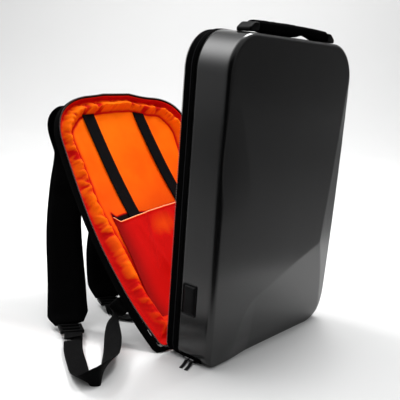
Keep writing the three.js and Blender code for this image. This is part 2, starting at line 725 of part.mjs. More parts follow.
function addBuckle(name, way) {
  const end = way(1);
  const buckle = buckleSolid();
  const flat = end.along.clone().setZ(0).normalize();
  const across = new THREE.Vector3().crossVectors(flat, vec(0, 0, 1));
  const place = new THREE.Matrix4().makeBasis(across, flat, vec(0, 0, 1));
  const start = end.middle.clone().addScaledVector(end.along, 2 * GAP);
  place.setPosition(start.x, start.y, Math.max(start.z - BUCKLE.drop, BUCKLE.thickness / 2 + GAP));
  buckle.applyMatrix4(place);
  addPiece(name, buckle, "trim");
  const reached = (beyond) => vec(0, BUCKLE.length + beyond, 0).applyMatrix4(place);
  return [2 * GAP, WEBBING_LEAD].map((beyond) => (
    { middle: reached(beyond).toArray(), side: across.toArray() }
  ));
}

// A fabric tab behind the back panel's edge that carries the webbing's end.
function addAnchor(name, side) {
  const places = [
    { reach: -ANCHOR.root, width: ANCHOR.width },
    { reach: ANCHOR.reach, width: ANCHOR.tipWidth },
  ];
  const level = BACK_LEVEL - GAP - ANCHOR.thickness / 2;
  const along = onFlap(0, ANCHOR.at + 1, 0).sub(onFlap(0, ANCHOR.at, 0));
  const stations = places.map((place) => ({
    middle: onFlap(side * (FLAP_RIM.width / 2 + place.reach), ANCHOR.at, level).toArray(),
    side: along.toArray(),
    width: place.width,
  }));
  const way = strapWay(stations);
  addPiece(name, strapSolid(way, ANCHOR.thickness, ANCHOR.steps), "webbing");
  return { tip: way(1).middle, along };
}

function addWebbing(name, start, stations, anchor, side) {
  const down = anchor.along.clone().negate().toArray();
  const end = [WEBBING_LEAD, 2 * GAP].map((beyond) => (
    { middle: anchor.tip.clone().add(vec(side * beyond, 0, 0)).toArray(), side: down }
  ));
  const way = strapWay([...start, ...stations, ...end].map((s) => ({ ...s, width: WEBBING_WIDTH })));
  addPiece(name, strapSolid(way, WEBBING_THICKNESS, WEBBING_STEPS), "webbing");
}

function addChestStrap(leftWay, rightWay) {
  const left = leftWay(CHEST.leftAt);
  const right = rightWay(CHEST.rightAt);
  const from = left.middle.clone().addScaledVector(left.across, left.width / 2 + CHEST_WAY.clear);
  const to = right.middle.clone().addScaledVector(right.across, -right.width / 2 - CHEST_WAY.clear);
  const out = from.clone().addScaledVector(left.across, CHEST_WAY.lead);
  const back = to.clone().addScaledVector(right.across, -CHEST_WAY.lead);
  const low = out.clone().add(back).multiplyScalar(0.5).add(vec(0, 0, -CHEST_WAY.sag));
  const upLeft = left.along.clone().negate().toArray();
  const upRight = right.along.clone().negate().toArray();
  const stations = [
    { middle: from.toArray(), side: upLeft, width: CHEST.width },
    { middle: out.toArray(), side: upLeft, width: CHEST.width },
    { middle: low.toArray(), side: [0, 0, 1], width: CHEST.width },
    { middle: back.toArray(), side: upRight, width: CHEST.width },
    { middle: to.toArray(), side: upRight, width: CHEST.width },
  ];
  const band = strapSolid(strapWay(stations), CHEST.thickness, CHEST.steps);
  addPiece("chest_strap", band, "webbing");
}

function addHarness() {
  const sides = [
    { name: "left", side: -1, fall: LEFT_STRAP_FALL, webbing: LEFT_WEBBING },
    { name: "right", side: 1, fall: RIGHT_STRAP_FALL, webbing: RIGHT_WEBBING },
  ];
  const ways = sides.map(({ name, side, fall, webbing }) => {
    const way = shoulderWay(side, fall);
    const padded = strapSolid(way, STRAP_THICKNESS, STRAP_STEPS, PADDED_EASING);
    addPiece(`shoulder_strap_${name}`, padded, "fabric");
    const start = addBuckle(`buckle_${name}`, way);
    const anchor = addAnchor(`anchor_${name}`, side);
    addWebbing(`webbing_${name}`, start, webbing, anchor, side);
    return way;
  });
  addChestStrap(...ways);
}

addShell();
addZipEnd();
addHandle();
addFlap();
addHarness();

export default bag;
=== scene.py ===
"""The looks of a hard-shell backpack that stands with its back flap open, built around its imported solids.

Every surface is worked out in millimetres from the plane of the shell's rim, as the solids are. X runs
across the bag, +Y points to its back and +Z up. The last step into a mesh adds RIM_Y and goes to metres.
"""

import bmesh
import bpy
import numpy as np
from mathutils import Matrix, Vector


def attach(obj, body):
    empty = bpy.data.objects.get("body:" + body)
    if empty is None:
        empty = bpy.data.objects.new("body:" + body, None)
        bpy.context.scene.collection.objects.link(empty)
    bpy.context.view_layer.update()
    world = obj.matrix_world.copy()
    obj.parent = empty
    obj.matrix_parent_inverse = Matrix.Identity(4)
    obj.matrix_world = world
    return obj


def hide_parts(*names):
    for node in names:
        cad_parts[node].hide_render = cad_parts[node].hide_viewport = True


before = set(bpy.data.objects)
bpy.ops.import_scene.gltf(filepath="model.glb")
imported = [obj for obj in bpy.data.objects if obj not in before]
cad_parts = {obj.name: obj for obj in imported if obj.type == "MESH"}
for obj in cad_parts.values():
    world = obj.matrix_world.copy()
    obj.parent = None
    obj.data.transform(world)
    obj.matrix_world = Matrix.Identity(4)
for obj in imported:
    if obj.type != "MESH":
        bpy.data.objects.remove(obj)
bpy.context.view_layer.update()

MM = 0.001
RIM_Y = 40.0

# Rims of the shell and of the flap: width, length, and radius of the top and base corners
SHELL_RIM = {"width": 320.0, "length": 465.0, "top": 56.0, "base": 22.0}
FLAP_RIM = {"width": 314.0, "length": 447.0, "top": 82.0, "base": 12.0}

# Points of an outline: in each corner, up each side, along the top and along the base
CORNER_STEPS = 16
SIDE_STEPS = 160
TOP_STEPS = 60
BASE_STEPS = 100

# Shell: y of the rim, of the end of the side wall and of the front, with flare and drop between them; its
# wall, rounded edge and crown; and how much larger the lower right corner's radius is at the front
SHELL_BACK = -18.3
SHELL_SIDE_END = -71.5
SHELL_FRONT = -79.2
SHELL_FLARE = (0.5, 5.0)
SHELL_DROP = (0.0, 3.0)
SHELL_WALL = 3.0
SHELL_EDGE = 7.0
SHELL_CROWN = {"height": 2.2, "flat_from": 40.0}
SHELL_CORNER_GROWTH = 30.0

# Cuts in the shell's front: the bevel, with its border as heights, then x; the crease above the facet, which
# bends down to the left of bend_x; the facet below it; the roll above the base; and the cuts' rounding
BEVEL = {"border": ((0, 432), (91.6, 161)), "slope": 0.165}
CREASE = {"height": 106.1, "slope": 0.324, "bend_x": -60.0, "bend": 0.0157}
FACET = {"depth": 9.5, "reach": 156.0, "curve": 1.7}
BASE_ROLL = {"depth": 3.5, "height": 30.0}
CUT_ROUNDING = 0.2

# Narrow strip at the upper left of the front: its border (heights, then x), slope and fading heights
STRIP_BORDER = ((200, 285, 413, 460), (-90, -107, -154.5, -172))
STRIP_SLOPE = 0.06
STRIP_FADE = (205.0, 300.0)

# Port cover on the left wall
PORT_RIM = {"width": 27.0, "length": 46.0, "top": 3.2, "base": 3.2}
PORT_PLACE = {"y": -35.5, "z": 69.0}

# Zip teeth: length across the rim, width along it, height and distance from one to the next
TOOTH = {"length": 2.2, "width": 1.5, "height": 1.7, "pitch": 2.4}

# Flap: start of its arc, its lean at both ends, its twist, how its front splays out and sags at the lower
# left, and the arch of its top edge; then levels of the lining's panel and floor, the back pad, and the
# level behind it that the straps lie on
FLAP_START = (5.6, 13.4)
HINGE_LEAN = np.radians(54.4)
TOP_LEAN = np.radians(26.0)
FLAP_TWIST = 18.0
FLAP_SPLAY = 13.0
FLAP_SAG = 7.0
FLAP_ARCH = (4.0, 9.0)
PANEL_LEVEL = -10.5
LINING_FLOOR = -12.2
PAD = {"front": -15.0, "inset": 3.0, "edge": 3.8, "crown": 1.5}
BACK_LEVEL = -21.7

# Pocket: lengths along the flap of its lower edge and of the middle of its mouth, its seams, and how far its
# left seam spreads out low down
POCKET = {"low": 46.0, "mouth": 227.0, "left": -100.0, "right": 112.0, "spread": 12.0}

# Elastic bands: x at their lower end and after a run along the flap, lengths s of both ends, that run, and
# half their width
ELASTICS = (("left", -52, -76), ("right", 74, 41))
ELASTIC_ENDS = (200.0, 416.0)
ELASTIC_RUN = 204
ELASTIC_HALF_WIDTH = 12.5

# Shoulder straps: top, thickness, then lengths and lifts of the bow off the back, then places, directions
# across and widths of the fall
STRAP_TOP_X = 72.0
STRAP_THICKNESS = 11.0
STRAP_BOW = ((345, 0), (372, 0), (402, 3), (427, 10), (440, 19))
STRAP_BOW_WIDTH = 62.0
LEFT_STRAP_FALL = (
    ((-82, 339, 304), (1, -0.1, 0), 60),
    ((-68, 334, 244), (0.95, -0.3, 0.1), 56),
    ((-106, 296, 190), (0.85, -0.5, 0), 56),
    ((-147, 250, 133), (0.75, -0.65, 0), 57),
    ((-178, 203, 58), (0.64, -0.77, 0), 60),
    ((-197, 176, 20), (0.62, -0.79, 0), 63),
    ((-207, 160, 11), (0.62, -0.79, 0), 44),
)
RIGHT_STRAP_FALL = (
    ((84, 339, 304), (1, 0.1, 0), 60),
    ((66, 334, 244), (0.98, -0.1, 0.1), 58),
    ((32, 312, 188), (0.9, -0.35, 0.2), 60),
    ((-14, 284, 132), (0.85, -0.5, 0.1), 61),
    ((-52, 252, 80), (0.8, -0.6, 0), 62),
    ((-72, 226, 32), (0.78, -0.62, 0), 58),
    ((-82, 208, 14), (0.78, -0.62, 0), 40),
)

# Adjusting webbing: its section, places and the direction across it, and its straight lead; then the buckle
# and the anchor tab that it ends at, and the gap between pieces that meet
WEBBING_WIDTH = 27.0
WEBBING_THICKNESS = 2.0
LEFT_WEBBING = (
    ((-262, 88, 7), (0.66, -0.75, 0)),
    ((-285, 55, 6), (0.7, -0.7, 0)),
    ((-305, 24, 5), (0.8, -0.55, -0.2)),
    ((-316, 1, 8), (0.65, -0.35, -0.65)),
    ((-304, -8, 13), (0.2, -0.1, -0.95)),
    ((-281, 4, 13), (-0.3, 0.25, -0.9)),
    ((-249, 26, 13), (-0.62, 0.6, -0.5)),
    ((-216, 56, 17), (-0.65, 0.65, -0.4)),
    ((-192, 83, 26), (-0.5, 0.45, -0.75)),
    ((-178, 95, 39), (-0.2, 0.1, -1)),
)
RIGHT_WEBBING = (
    ((-109, 152, 4), (0.98, 0.2, 0)),
    ((-98, 130, 3), (0.75, 0.65, 0)),
    ((-62, 117, 2.2), (0.2, 1, 0)),
    ((10, 116, 2.2), (0, 1, 0)),
    ((90, 118, 2.4), (0, 1, 0)),
    ((146, 114, 12), (0.2, 0.95, -0.2)),
    ((174, 100, 36), (0, 0.5, -0.85)),
)
WEBBING_LEAD = 7.0
BUCKLE = {"length": 30.0, "thickness": 5.0, "drop": 2.0}
ANCHOR = {"at": 88.0, "reach": 2.0, "root": 40.0}
GAP = 0.3

# Chest strap: its width, where it joins each shoulder strap as a part of that strap's way, its gap there,
# its straight lead and its sag
CHEST = {"width": 20.0, "left_part": 0.66, "right_part": 0.64, "gap": 0.8, "lead": 12.0, "sag": 12.0}

# Hinge strip: half its width, and its edge at the shell's rim
HINGE = {"half_width": 146.0, "y": 5.2, "z": 1.4}

# Carrying handle: half its length and depth, its place, and heights of its top and underside
HANDLE = {"half_length": 93.2, "half_depth": 11.0, "y": -57.0, "top": 481.0, "under": 463.6}

# The photograph's camera: its turns, place in metres, focal length in widths of the frame, and sensor
VIEW_AZIMUTH, VIEW_PITCH, VIEW_ROLL = np.radians((51.9, 10.75, 4.15))
VIEW_AHEAD = np.array([np.sin(VIEW_AZIMUTH), np.cos(VIEW_AZIMUTH)])
VIEW_RIGHT = np.array([np.cos(VIEW_AZIMUTH), -np.sin(VIEW_AZIMUTH)])
CAMERA_PLACE = (-0.894, -0.5755, 0.412)
FOCAL_LENGTH = 1.75
SENSOR = 36.0

# The world: its strength, dark sides with the start of each and its tone, and glows with their sharpness,
# their level and whether only mirrors see them
WORLD_STRENGTH = 0.7
DARK_SIDES = (((0.75, -0.66, 0), 0.6, 0.22), ((-0.787, -0.617, 0), 0.3, 0.01))
GLOWS = (((-0.1, 0.42, 0.9), 18.0, 4.5, False), ((-0.35, 0.61, 0.71), 14.0, 9.0, True))

# Cells of the noise's lattice before it repeats
NOISE_CELLS = 64


# Working with arrays


def smoothstep(low, high, x):
    """Goes from 0 at low to 1 at high along a cubic with level ends."""
    t = np.clip((x - low) / (high - low), 0, 1)
    return t * t * (3 - 2 * t)


def bump(low, high, x):
    """Half a wave of the sine: 0 at low and high, 1 half way, and 0 outside."""
    return np.sin(np.pi * np.clip((x - low) / (high - low), 0, 1))


def soft_max(a, b, reach):
    """The larger of a and b, rounded over where they differ by less than reach."""
    h = np.clip(0.5 + 0.5 * (b - a) / reach, 0, 1)
    return a + (b - a) * h + reach * h * (1 - h)


def noise(u, v, seed):
    """Smooth noise from -1 to 1: random values on a lattice of whole numbers, eased between."""
    table = np.random.default_rng(seed).uniform(-1, 1, (NOISE_CELLS, NOISE_CELLS))
    u, v = np.broadcast_arrays(u, v)
    i, j = np.floor(u).astype(int), np.floor(v).astype(int)
    s, t = smoothstep(0, 1, u - i), smoothstep(0, 1, v - j)

    def value(a, b):
        return table[(i + a) % NOISE_CELLS, (j + b) % NOISE_CELLS]

    low = value(0, 0) * (1 - s) + value(1, 0) * s
    high = value(0, 1) * (1 - s) + value(1, 1) * s
    return low * (1 - t) + high * t


def ridges(u, v, seed):
    """Sharp-topped folds from 0 to 1: one less the noise's distance from 0, squared, at two scales."""
    broad = (1 - abs(noise(u, v, seed))) ** 2
    fine = (1 - abs(noise(2.3 * u, 2.3 * v, seed + 1))) ** 2
    return 0.7 * broad + 0.3 * fine


def unit(v):
    return v / np.maximum(np.linalg.norm(v, axis=-1, keepdims=True), 1e-9)


def smooth_way(points, parts):
    """Places and directions on the centripetal curve through points, at parts from 0 to 1 of its spans.

    Each span is a cubic between two points. Its slopes at them come from the points before and after,
    with the square root of the distance as the time between points.
    """
    p = np.asarray(points, float)
    p = np.vstack([2 * p[0] - p[1], p, 2 * p[-1] - p[-2]])
    place = np.asarray(parts, float) * (len(p) - 3)
    i = np.minimum(place.astype(int), len(p) - 4)
    t = (place - i)[:, None]
    p0, p1, p2, p3 = p[i], p[i + 1], p[i + 2], p[i + 3]
    spans = ((p0, p1), (p1, p2), (p2, p3))
    d0, d1, d2 = (np.sqrt(np.linalg.norm(b - a, axis=1, keepdims=True)) for a, b in spans)
    d1 = np.where(d1 < 1e-4, 1.0, d1)
    d0, d2 = np.where(d0 < 1e-4, d1, d0), np.where(d2 < 1e-4, d1, d2)
    m1 = d1 * ((p1 - p0) / d0 - (p2 - p0) / (d0 + d1) + (p2 - p1) / d1)
    m2 = d1 * ((p2 - p1) / d1 - (p3 - p1) / (d1 + d2) + (p3 - p2) / d2)
    a, b = 2 * (p1 - p2) + m1 + m2, 3 * (p2 - p1) - 2 * m1 - m2
    return ((a * t + b) * t + m1) * t + p1, (3 * a * t + 2 * b) * t + m1


def strap_frames(stations, count):
    """Middle, direction along, across and up, and width of a strap at count places on its smooth way.

    stations are (middle, side, width). The side is squared to the way, and up is along times across.
    """
    parts = np.linspace(0, 1, count)
    middle, along = smooth_way([s[0] for s in stations], parts)
    along = unit(along)
    across, _ = smooth_way([s[1] for s in stations], parts)
    across = unit(across - along * (across * along).sum(1, keepdims=True))
    width = np.interp(parts * (len(stations) - 1), np.arange(len(stations)), [s[2] for s in stations])
    return middle, along, across, np.cross(along, across), width


def length_along(points):
    """Distance from the first point along a line of points."""
    steps = np.linalg.norm(np.diff(points, axis=0), axis=1)
    return np.concatenate([[0], np.cumsum(steps)])


# Outlines and places


def rim_outline(rim, inset=0.0, flare=0.0, drop=0.0, growth=0.0):
    """Points (x, height) of a rim's outline set in by a distance: four quarter circles joined by
    straight runs. The sides flare out, the top drops, and the lower right radius grows."""
    half = rim["width"] / 2 + flare - inset
    radii = (rim["top"], rim["base"], rim["base"] + growth)
    top, base, right = (max(r - inset, 1.0) for r in radii)
    turn = np.linspace(0, np.pi / 2, CORNER_STEPS + 1)
    high = rim["length"] - drop - inset - top
    corners = [
        np.stack([side * (half - r) + r * np.cos(turn + start), level + r * np.sin(turn + start)], 1)
        for side, r, level, start in (
            (1, right, inset + right, -np.pi / 2),
            (1, top, high, 0),
            (-1, top, high, np.pi / 2),
            (-1, base, inset + base, np.pi),
        )
    ]
    runs = []
    for k, steps in enumerate((SIDE_STEPS, TOP_STEPS, SIDE_STEPS, BASE_STEPS)):
        part = np.linspace(0, 1, steps + 1)[1:-1, None]
        runs.append(corners[k][-1] * (1 - part) + corners[(k + 1) % 4][0] * part)
    return np.concatenate([piece for pair in zip(corners, runs) for piece in pair])


def on_shell(outline, y):
    return np.stack([outline[..., 0], np.broadcast_to(y, outline.shape[:-1]), outline[..., 1]], -1)


def on_flap(x, s, level):
    """Place on the flap: x, length s along its arc from the hinge, and level above its rim. The arc's
    lean falls evenly with s, and the twist lifts the top right corner. The top edge is arched, and the
    front splays out and sags at the lower left."""
    x, s, level = np.broadcast_arrays(np.asarray(x, float), s, level)
    length = FLAP_RIM["length"]
    left = smoothstep(20, -FLAP_RIM["width"] / 2, x)
    low = smoothstep(380, 130, s) * (0.6 + 0.4 * smoothstep(0, 100, s))
    splay = FLAP_SPLAY * left * low * np.clip((level + 20) / 7, 0, 1)
    sag = FLAP_SAG * left * smoothstep(160, 0, s) * np.clip((level + 13) / 13, 0, 1)
    arch = FLAP_ARCH[0] * bump(-140, -40, x) + FLAP_ARCH[1] * bump(20, 150, x)
    s = s - arch * smoothstep(330, length, s)
    lean = HINGE_LEAN + (TOP_LEAN - HINGE_LEAN) * s / length
    radius = length / (HINGE_LEAN - TOP_LEAN)
    level = level + FLAP_TWIST * (x / FLAP_RIM["width"] + 0.5) * (s / length) ** 2
    y = FLAP_START[0] + radius * (np.cos(lean) - np.cos(HINGE_LEAN)) - level * np.cos(lean)
    z = FLAP_START[1] + radius * (np.sin(HINGE_LEAN) - np.sin(lean)) + level * np.sin(lean)
    return np.stack([x - splay, y, z - sag], -1)


def flap_corner(s):
    return np.where(s > FLAP_RIM["length"] / 2, FLAP_RIM["top"], FLAP_RIM["base"])


def edge_distance(x, s):
    """Distance of a place on the flap from the flap's rounded outline."""
    r = flap_corner(s)
    across = abs(x) - FLAP_RIM["width"] / 2 + r
    along = abs(s - FLAP_RIM["length"] / 2) - FLAP_RIM["length"] / 2 + r
    corner = np.hypot(np.maximum(across, 0), np.maximum(along, 0))
    return r - corner - np.minimum(np.maximum(across, along), 0)


def half_width(s, inset):
    """Half the width of the flap's outline, set in by a distance, at a length s."""
    r = flap_corner(s)
    short = np.maximum(r - np.minimum(s, FLAP_RIM["length"] - s), 0)
    return FLAP_RIM["width"] / 2 - r + np.sqrt(np.maximum((r - inset) ** 2 - short**2, 0))


def round_flap(x, s):
    """Length round the flap's border from the middle of its top: along the top, round the corner and
    down the side, negative on the left."""
    r = FLAP_RIM["top"]
    run = FLAP_RIM["width"] / 2 - r
    a, b = abs(x) - run, s - (FLAP_RIM["length"] - r)
    corner = run + r * np.arctan2(np.maximum(a, 0), np.maximum(b, 1e-6))
    p = np.where(a < 0, abs(x), np.where(b > 0, corner, run + r * np.pi / 2 - b))
    return p * np.where(x < 0, -1, 1)


# Meshes


def grid_faces(rows, columns, around=False, across=False, start=0):
    """Quads of a grid numbered row by row. around joins the last column to the first, across the last
    row to the first."""
    r = np.arange(rows if across else rows - 1)[:, None]
    c = np.arange(columns if around else columns - 1)[None, :]
    next_r, next_c = (r + 1) % rows, (c + 1) % columns
    quads = [r * columns + c, r * columns + next_c, next_r * columns + next_c, next_r * columns + c]
    return np.stack(np.broadcast_arrays(*quads), -1).reshape(-1, 4) + start


def ring_solid(rings, closed=False, filled=True):
    """A solid through rings of points: closed on itself, or with its first and last ring filled unless
    filled is false."""
    rows, columns = rings.shape[:2]
    faces = grid_faces(rows, columns, around=True, across=closed).tolist()
    if filled and not closed:
        faces += [list(range(columns)), list(range((rows - 1) * columns, rows * columns))]
    return rings.reshape(-1, 3), faces


def sheet_solid(front, back):
    """A sheet with thickness: a front and a back grid joined round their edges."""
    rows, columns = front.shape[:2]
    count = rows * columns
    quads = grid_faces(rows, columns)
    index = np.arange(count).reshape(rows, columns)
    edge = np.concatenate([index[0, :-1], index[:-1, -1], index[-1, :0:-1], index[:0:-1, 0]])
    after = np.roll(edge, -1)
    rim = np.stack([edge, edge + count, after + count, after], 1)
    faces = np.concatenate([quads, quads[:, ::-1] + count, rim])
    return np.concatenate([front.reshape(-1, 3), back.reshape(-1, 3)]), faces.tolist()


def both_faces(*axes):
    """Each point's place on the cloth, for the front and then the back of a sheet."""
    return np.concatenate([np.stack(np.broadcast_arrays(*axes), -1).reshape(-1, 2)] * 2)


def strap_solid(frames, profile):
    """A profile of (part of half the width, height) carried along a strap's frames."""
    middle, _, across, up, width = frames
    profile = np.asarray(profile, float)
    a = profile[None, :, 0, None] * (width / 2)[:, None, None]
    rings = middle[:, None] + across[:, None] * a + up[:, None] * profile[None, :, 1, None]
    return ring_solid(rings)


def repeated(place, axes, points, faces):
    """Copies of one small shape: its points along three axes at each place."""
    solid = place[:, None] + sum(axis[:, None] * points[None, :, k, None] for k, axis in enumerate(axes))
    starts = np.arange(len(place))[:, None] * len(points)
    return solid.reshape(-1, 3), [tuple(f) for face in faces for f in (starts + np.array(face)).tolist()]


def capsule(length, width, height, sides=6):
    """A small rounded block: rings of points across its length, narrow at both ends."""
    turn = np.linspace(0, 2 * np.pi, sides, endpoint=False)
    across, up = width / 2 * np.cos(turn), height / 2 * np.sin(turn)
    rings = [
        np.stack([np.full(sides, x * length / 2), part * across, part * up], 1)
        for x, part in ((-1, 0.45), (-0.6, 1), (0.6, 1), (1, 0.45))
    ]
    return ring_solid(np.stack(rings))


def clean(mesh, within, flatten=0.0):
    """Merges points that lie within a distance, joins faces that turn by less than an angle in degrees,
    and turns all faces outwards."""
    work = bmesh.new()
    work.from_mesh(mesh)
    bmesh.ops.remove_doubles(work, verts=work.verts, dist=within)
    if flatten:
        bmesh.ops.dissolve_limit(work, angle_limit=np.radians(flatten), verts=work.verts, edges=work.edges)
    bmesh.ops.recalc_face_normals(work, faces=work.faces)
    work.to_mesh(mesh)
    work.free()


def shade_smooth(mesh):
    mesh.polygons.foreach_set("use_smooth", np.ones(len(mesh.polygons), bool))


def add_piece(name, mesh, finish, nodes):
    """Puts a mesh in the scene as a smooth piece of one finish, rides it on the frame and lets it stand for
    CAD nodes."""
    mesh.materials.clear()
    mesh.materials.append(finish)
    shade_smooth(mesh)
    piece = bpy.data.objects.new(name, mesh)
    bpy.context.scene.collection.objects.link(piece)
    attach(piece, "root")
    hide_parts(*nodes)
    return piece


def put(name, solids, finish, nodes, cloth=None, mark=None):
    """Makes one piece of closed solids in millimetres from the rim. cloth gives each point's place on the
    cloth in millimetres, mark a mask."""
    points, faces, start = [], [], 0
    for solid_points, solid_faces in solids:
        points.append(solid_points)
        faces += [[i + start for i in face] for face in solid_faces]
        start += len(solid_points)
    points = (np.concatenate(points) + [0, RIM_Y, 0]) * MM
    mesh = bpy.data.meshes.new(name)
    mesh.from_pydata(points.tolist(), [], faces)
    if cloth is not None:
        place = np.zeros((len(points), 3), np.float32)
        place[:, :2] = np.concatenate([np.reshape(c, (-1, 2)) for c in cloth]) * MM
        mesh.attributes.new("cloth", "FLOAT_VECTOR", "POINT").data.foreach_set("vector", place.ravel())
    if mark is not None:
        values = np.concatenate([np.ravel(m) for m in mark]).astype(np.float32)
        mesh.attributes.new("mark", "FLOAT", "POINT").data.foreach_set("value", values)
    clean(mesh, 1e-7)
    return add_piece(name, mesh, finish, nodes)


def softened(node, name, finish, radius, segments=3):
    """A copy of a CAD node with its flat facets joined and its edges rounded."""
    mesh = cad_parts[node].data.copy()
    mesh.name = name
    clean(mesh, 1e-6, 2.0)
    piece = add_piece(name, mesh, finish, [node])
    rounding = piece.modifiers.new("rounding", "BEVEL")
    rounding.width = radius * MM
    rounding.segments = segments
    rounding.limit_method = "ANGLE"
    rounding.angle_limit = np.radians(28)
    rounding.harden_normals = True


# Finishes


def add(tree, kind, inputs=None, **settings):
    """Adds a node with its settings, and values or links for its named inputs."""
    node = tree.nodes.new(kind)
    for key, value in settings.items():
        setattr(node, key, value)
    for key, value in (inputs or {}).items():
        if isinstance(value, bpy.types.NodeSocket):
            tree.links.new(value, node.inputs[key])
        else:
            node.inputs[key].default_value = value
    return node


def math(tree, operation, a, b=0.0):
    """One Math node on values or links."""
    return add(tree, "ShaderNodeMath", {0: a, 1: b}, operation=operation).outputs[0]


def mix(tree, part, a, b):
    """Colour a mixed with colour b by a part from 0 to 1."""
    return add(tree, "ShaderNodeMix", {0: part, 6: a, 7: b}, data_type="RGBA").outputs[2]


def ramp(tree, value, start, end, kind="LINEAR"):
    """Goes from 0 at start to 1 at end, along a line or a smooth step."""
    return add(tree, "ShaderNodeMapRange", {0: value, 1: start, 2: end}, interpolation_type=kind).outputs[0]


def cloud(tree, place, scale, detail=2.0):
    """Soft noise from 0 to 1."""
    return add(tree, "ShaderNodeTexNoise", {"Vector": place, "Scale": scale, "Detail": detail}).outputs[0]


def toward(tree, place, way):
    """How far a place lies along a way: the sum of the products of their axes."""
    return add(tree, "ShaderNodeVectorMath", {0: place, 1: way}, operation="DOT_PRODUCT").outputs["Value"]


def scaled_axes(tree, place, scale):
    """X, Y and Z of a place times a scale."""
    scaled = add(tree, "ShaderNodeVectorMath", {0: place, "Scale": scale}, operation="SCALE")
    return add(tree, "ShaderNodeSeparateXYZ", {0: scaled.outputs[0]}).outputs


def half_waves(tree, value):
    """The sine of a value in half turns, without its sign: a row of round threads."""
    return math(tree, "ABSOLUTE", math(tree, "SINE", math(tree, "MULTIPLY", value, np.pi)))


def group(name, inputs, outputs):
    """An empty shader node group with its sockets, its input node's outputs and its output node."""
    tree = bpy.data.node_groups.new(name, "ShaderNodeTree")
    for label, kind, value in inputs:
        socket = tree.interface.new_socket(label, in_out="INPUT", socket_type=kind)
        if value is not None:
            socket.default_value = value
    for label, kind in outputs:
        tree.interface.new_socket(label, in_out="OUTPUT", socket_type=kind)
    return tree, add(tree, "NodeGroupInput").outputs, add(tree, "NodeGroupOutput").inputs


def weave_group():
    """Plain weave: warp and weft threads as half waves, one over the other on alternate squares."""
    tree, given, out = group(
        "woven threads",
        (("Place", "NodeSocketVector", None), ("Threads", "NodeSocketFloat", 1000.0)),
        (("Height", "NodeSocketFloat"), ("Gaps", "NodeSocketFloat")),
    )
    axes = scaled_axes(tree, given["Place"], given["Threads"])
    warp, weft = (half_waves(tree, axes[k]) for k in (0, 1))
    squares = math(tree, "ADD", math(tree, "FLOOR", axes[0]), math(tree, "FLOOR", axes[1]))
    over = math(tree, "FLOORED_MODULO", squares, 2.0)
    under = math(tree, "SUBTRACT", 1.0, over)
    height = math(tree, "ADD", math(tree, "MULTIPLY", warp, over), math(tree, "MULTIPLY", weft, under))
    tree.links.new(height, out["Height"])
    tree.links.new(math(tree, "LESS_THAN", math(tree, "MULTIPLY", warp, weft), 0.12), out["Gaps"])
    return tree


def ribs_group():
    """Ribbed webbing: rows of slanting threads in narrow ribs that run along it."""
    tree, given, out = group(
        "webbing ribs",
        (("Place", "NodeSocketVector", None), ("Ribs", "NodeSocketFloat", 500.0)),
        (("Height", "NodeSocketFloat"),),
    )
    axes = scaled_axes(tree, given["Place"], given["Ribs"])
    rib = half_waves(tree, axes[0])
    fold = math(tree, "PINGPONG", axes[0], 1.0)
    slant = math(tree, "ADD", math(tree, "MULTIPLY", axes[1], 1.4), fold)
    thread = half_waves(tree, slant)
    height = math(tree, "ADD", math(tree, "MULTIPLY", rib, 0.6), math(tree, "MULTIPLY", thread, 0.4))
    tree.links.new(height, out["Height"])
    return tree


def tone_group():
    """Uneven tone: a colour that varies between two tones in soft patches, with rare pale flecks."""
    tree, given, out = group(
        "uneven tone",
        (
            ("Dark", "NodeSocketColor", None),
            ("Light", "NodeSocketColor", None),
            ("Fleck", "NodeSocketColor", None),
            ("Patches", "NodeSocketFloat", 20.0),
            ("Flecks", "NodeSocketFloat", 0.0),
        ),
        (("Colour", "NodeSocketColor"), ("Patch", "NodeSocketFloat")),
    )
    place = add(tree, "ShaderNodeTexCoord").outputs["Object"]
    soft = ramp(tree, cloud(tree, place, given["Patches"], 4.0), 0.3, 0.7)
    tone = mix(tree, soft, given["Dark"], given["Light"])
    speck = ramp(tree, cloud(tree, place, 900.0), 0.68, 0.78)
    amount = math(tree, "MULTIPLY", speck, given["Flecks"])
    tree.links.new(mix(tree, amount, tone, given["Fleck"]), out["Colour"])
    tree.links.new(soft, out["Patch"])
    return tree


def grain_group():
    """Moulded grain: small rounded cells with finer noise on them."""
    tree, given, out = group(
        "moulded grain",
        (("Cells", "NodeSocketFloat", 900.0),),
        (("Height", "NodeSocketFloat"),),
    )
    place = add(tree, "ShaderNodeTexCoord").outputs["Object"]
    cells = add(
        tree, "ShaderNodeTexVoronoi", {"Vector": place, "Scale": given["Cells"]}, feature="SMOOTH_F1"
    ).outputs[0]
    fine = cloud(tree, place, 2600.0)
    height = math(tree, "ADD", math(tree, "MULTIPLY", cells, 0.7), math(tree, "MULTIPLY", fine, 0.3))
    tree.links.new(height, out["Height"])
    return tree


WEAVE = weave_group()
RIBS = ribs_group()
TONE = tone_group()
GRAIN = grain_group()


def new_finish(name, rough, specular=0.5):
    material = bpy.data.materials.new(name)
    material.use_nodes = True
    tree = material.node_tree
    shader = tree.nodes["Principled BSDF"]
    shader.inputs["Roughness"].default_value = rough
    shader.inputs["Specular IOR Level"].default_value = specular
    return material, tree, shader


def use(tree, node_group, inputs):
    """A node group placed in a material."""
    return add(tree, "ShaderNodeGroup", inputs, node_tree=node_group).outputs


def rgba(colour):
    return (*colour, 1.0)


def uneven(tree, dark, light, fleck, patches, flecks):
    """The uneven tone of a finish, from its dark and light colours and its flecks' colour and amount."""
    colours = {"Dark": rgba(dark), "Light": rgba(light), "Fleck": rgba(fleck)}
    return use(tree, TONE, {**colours, "Patches": patches, "Flecks": flecks})


def raise_bump(tree, shader, height, strength, distance):
    """A Bump node from a height into the shader's normal, with the distance in millimetres."""
    node = add(tree, "ShaderNodeBump", {"Height": height, "Strength": strength, "Distance": distance * MM})
    tree.links.new(node.outputs[0], shader.inputs["Normal"])


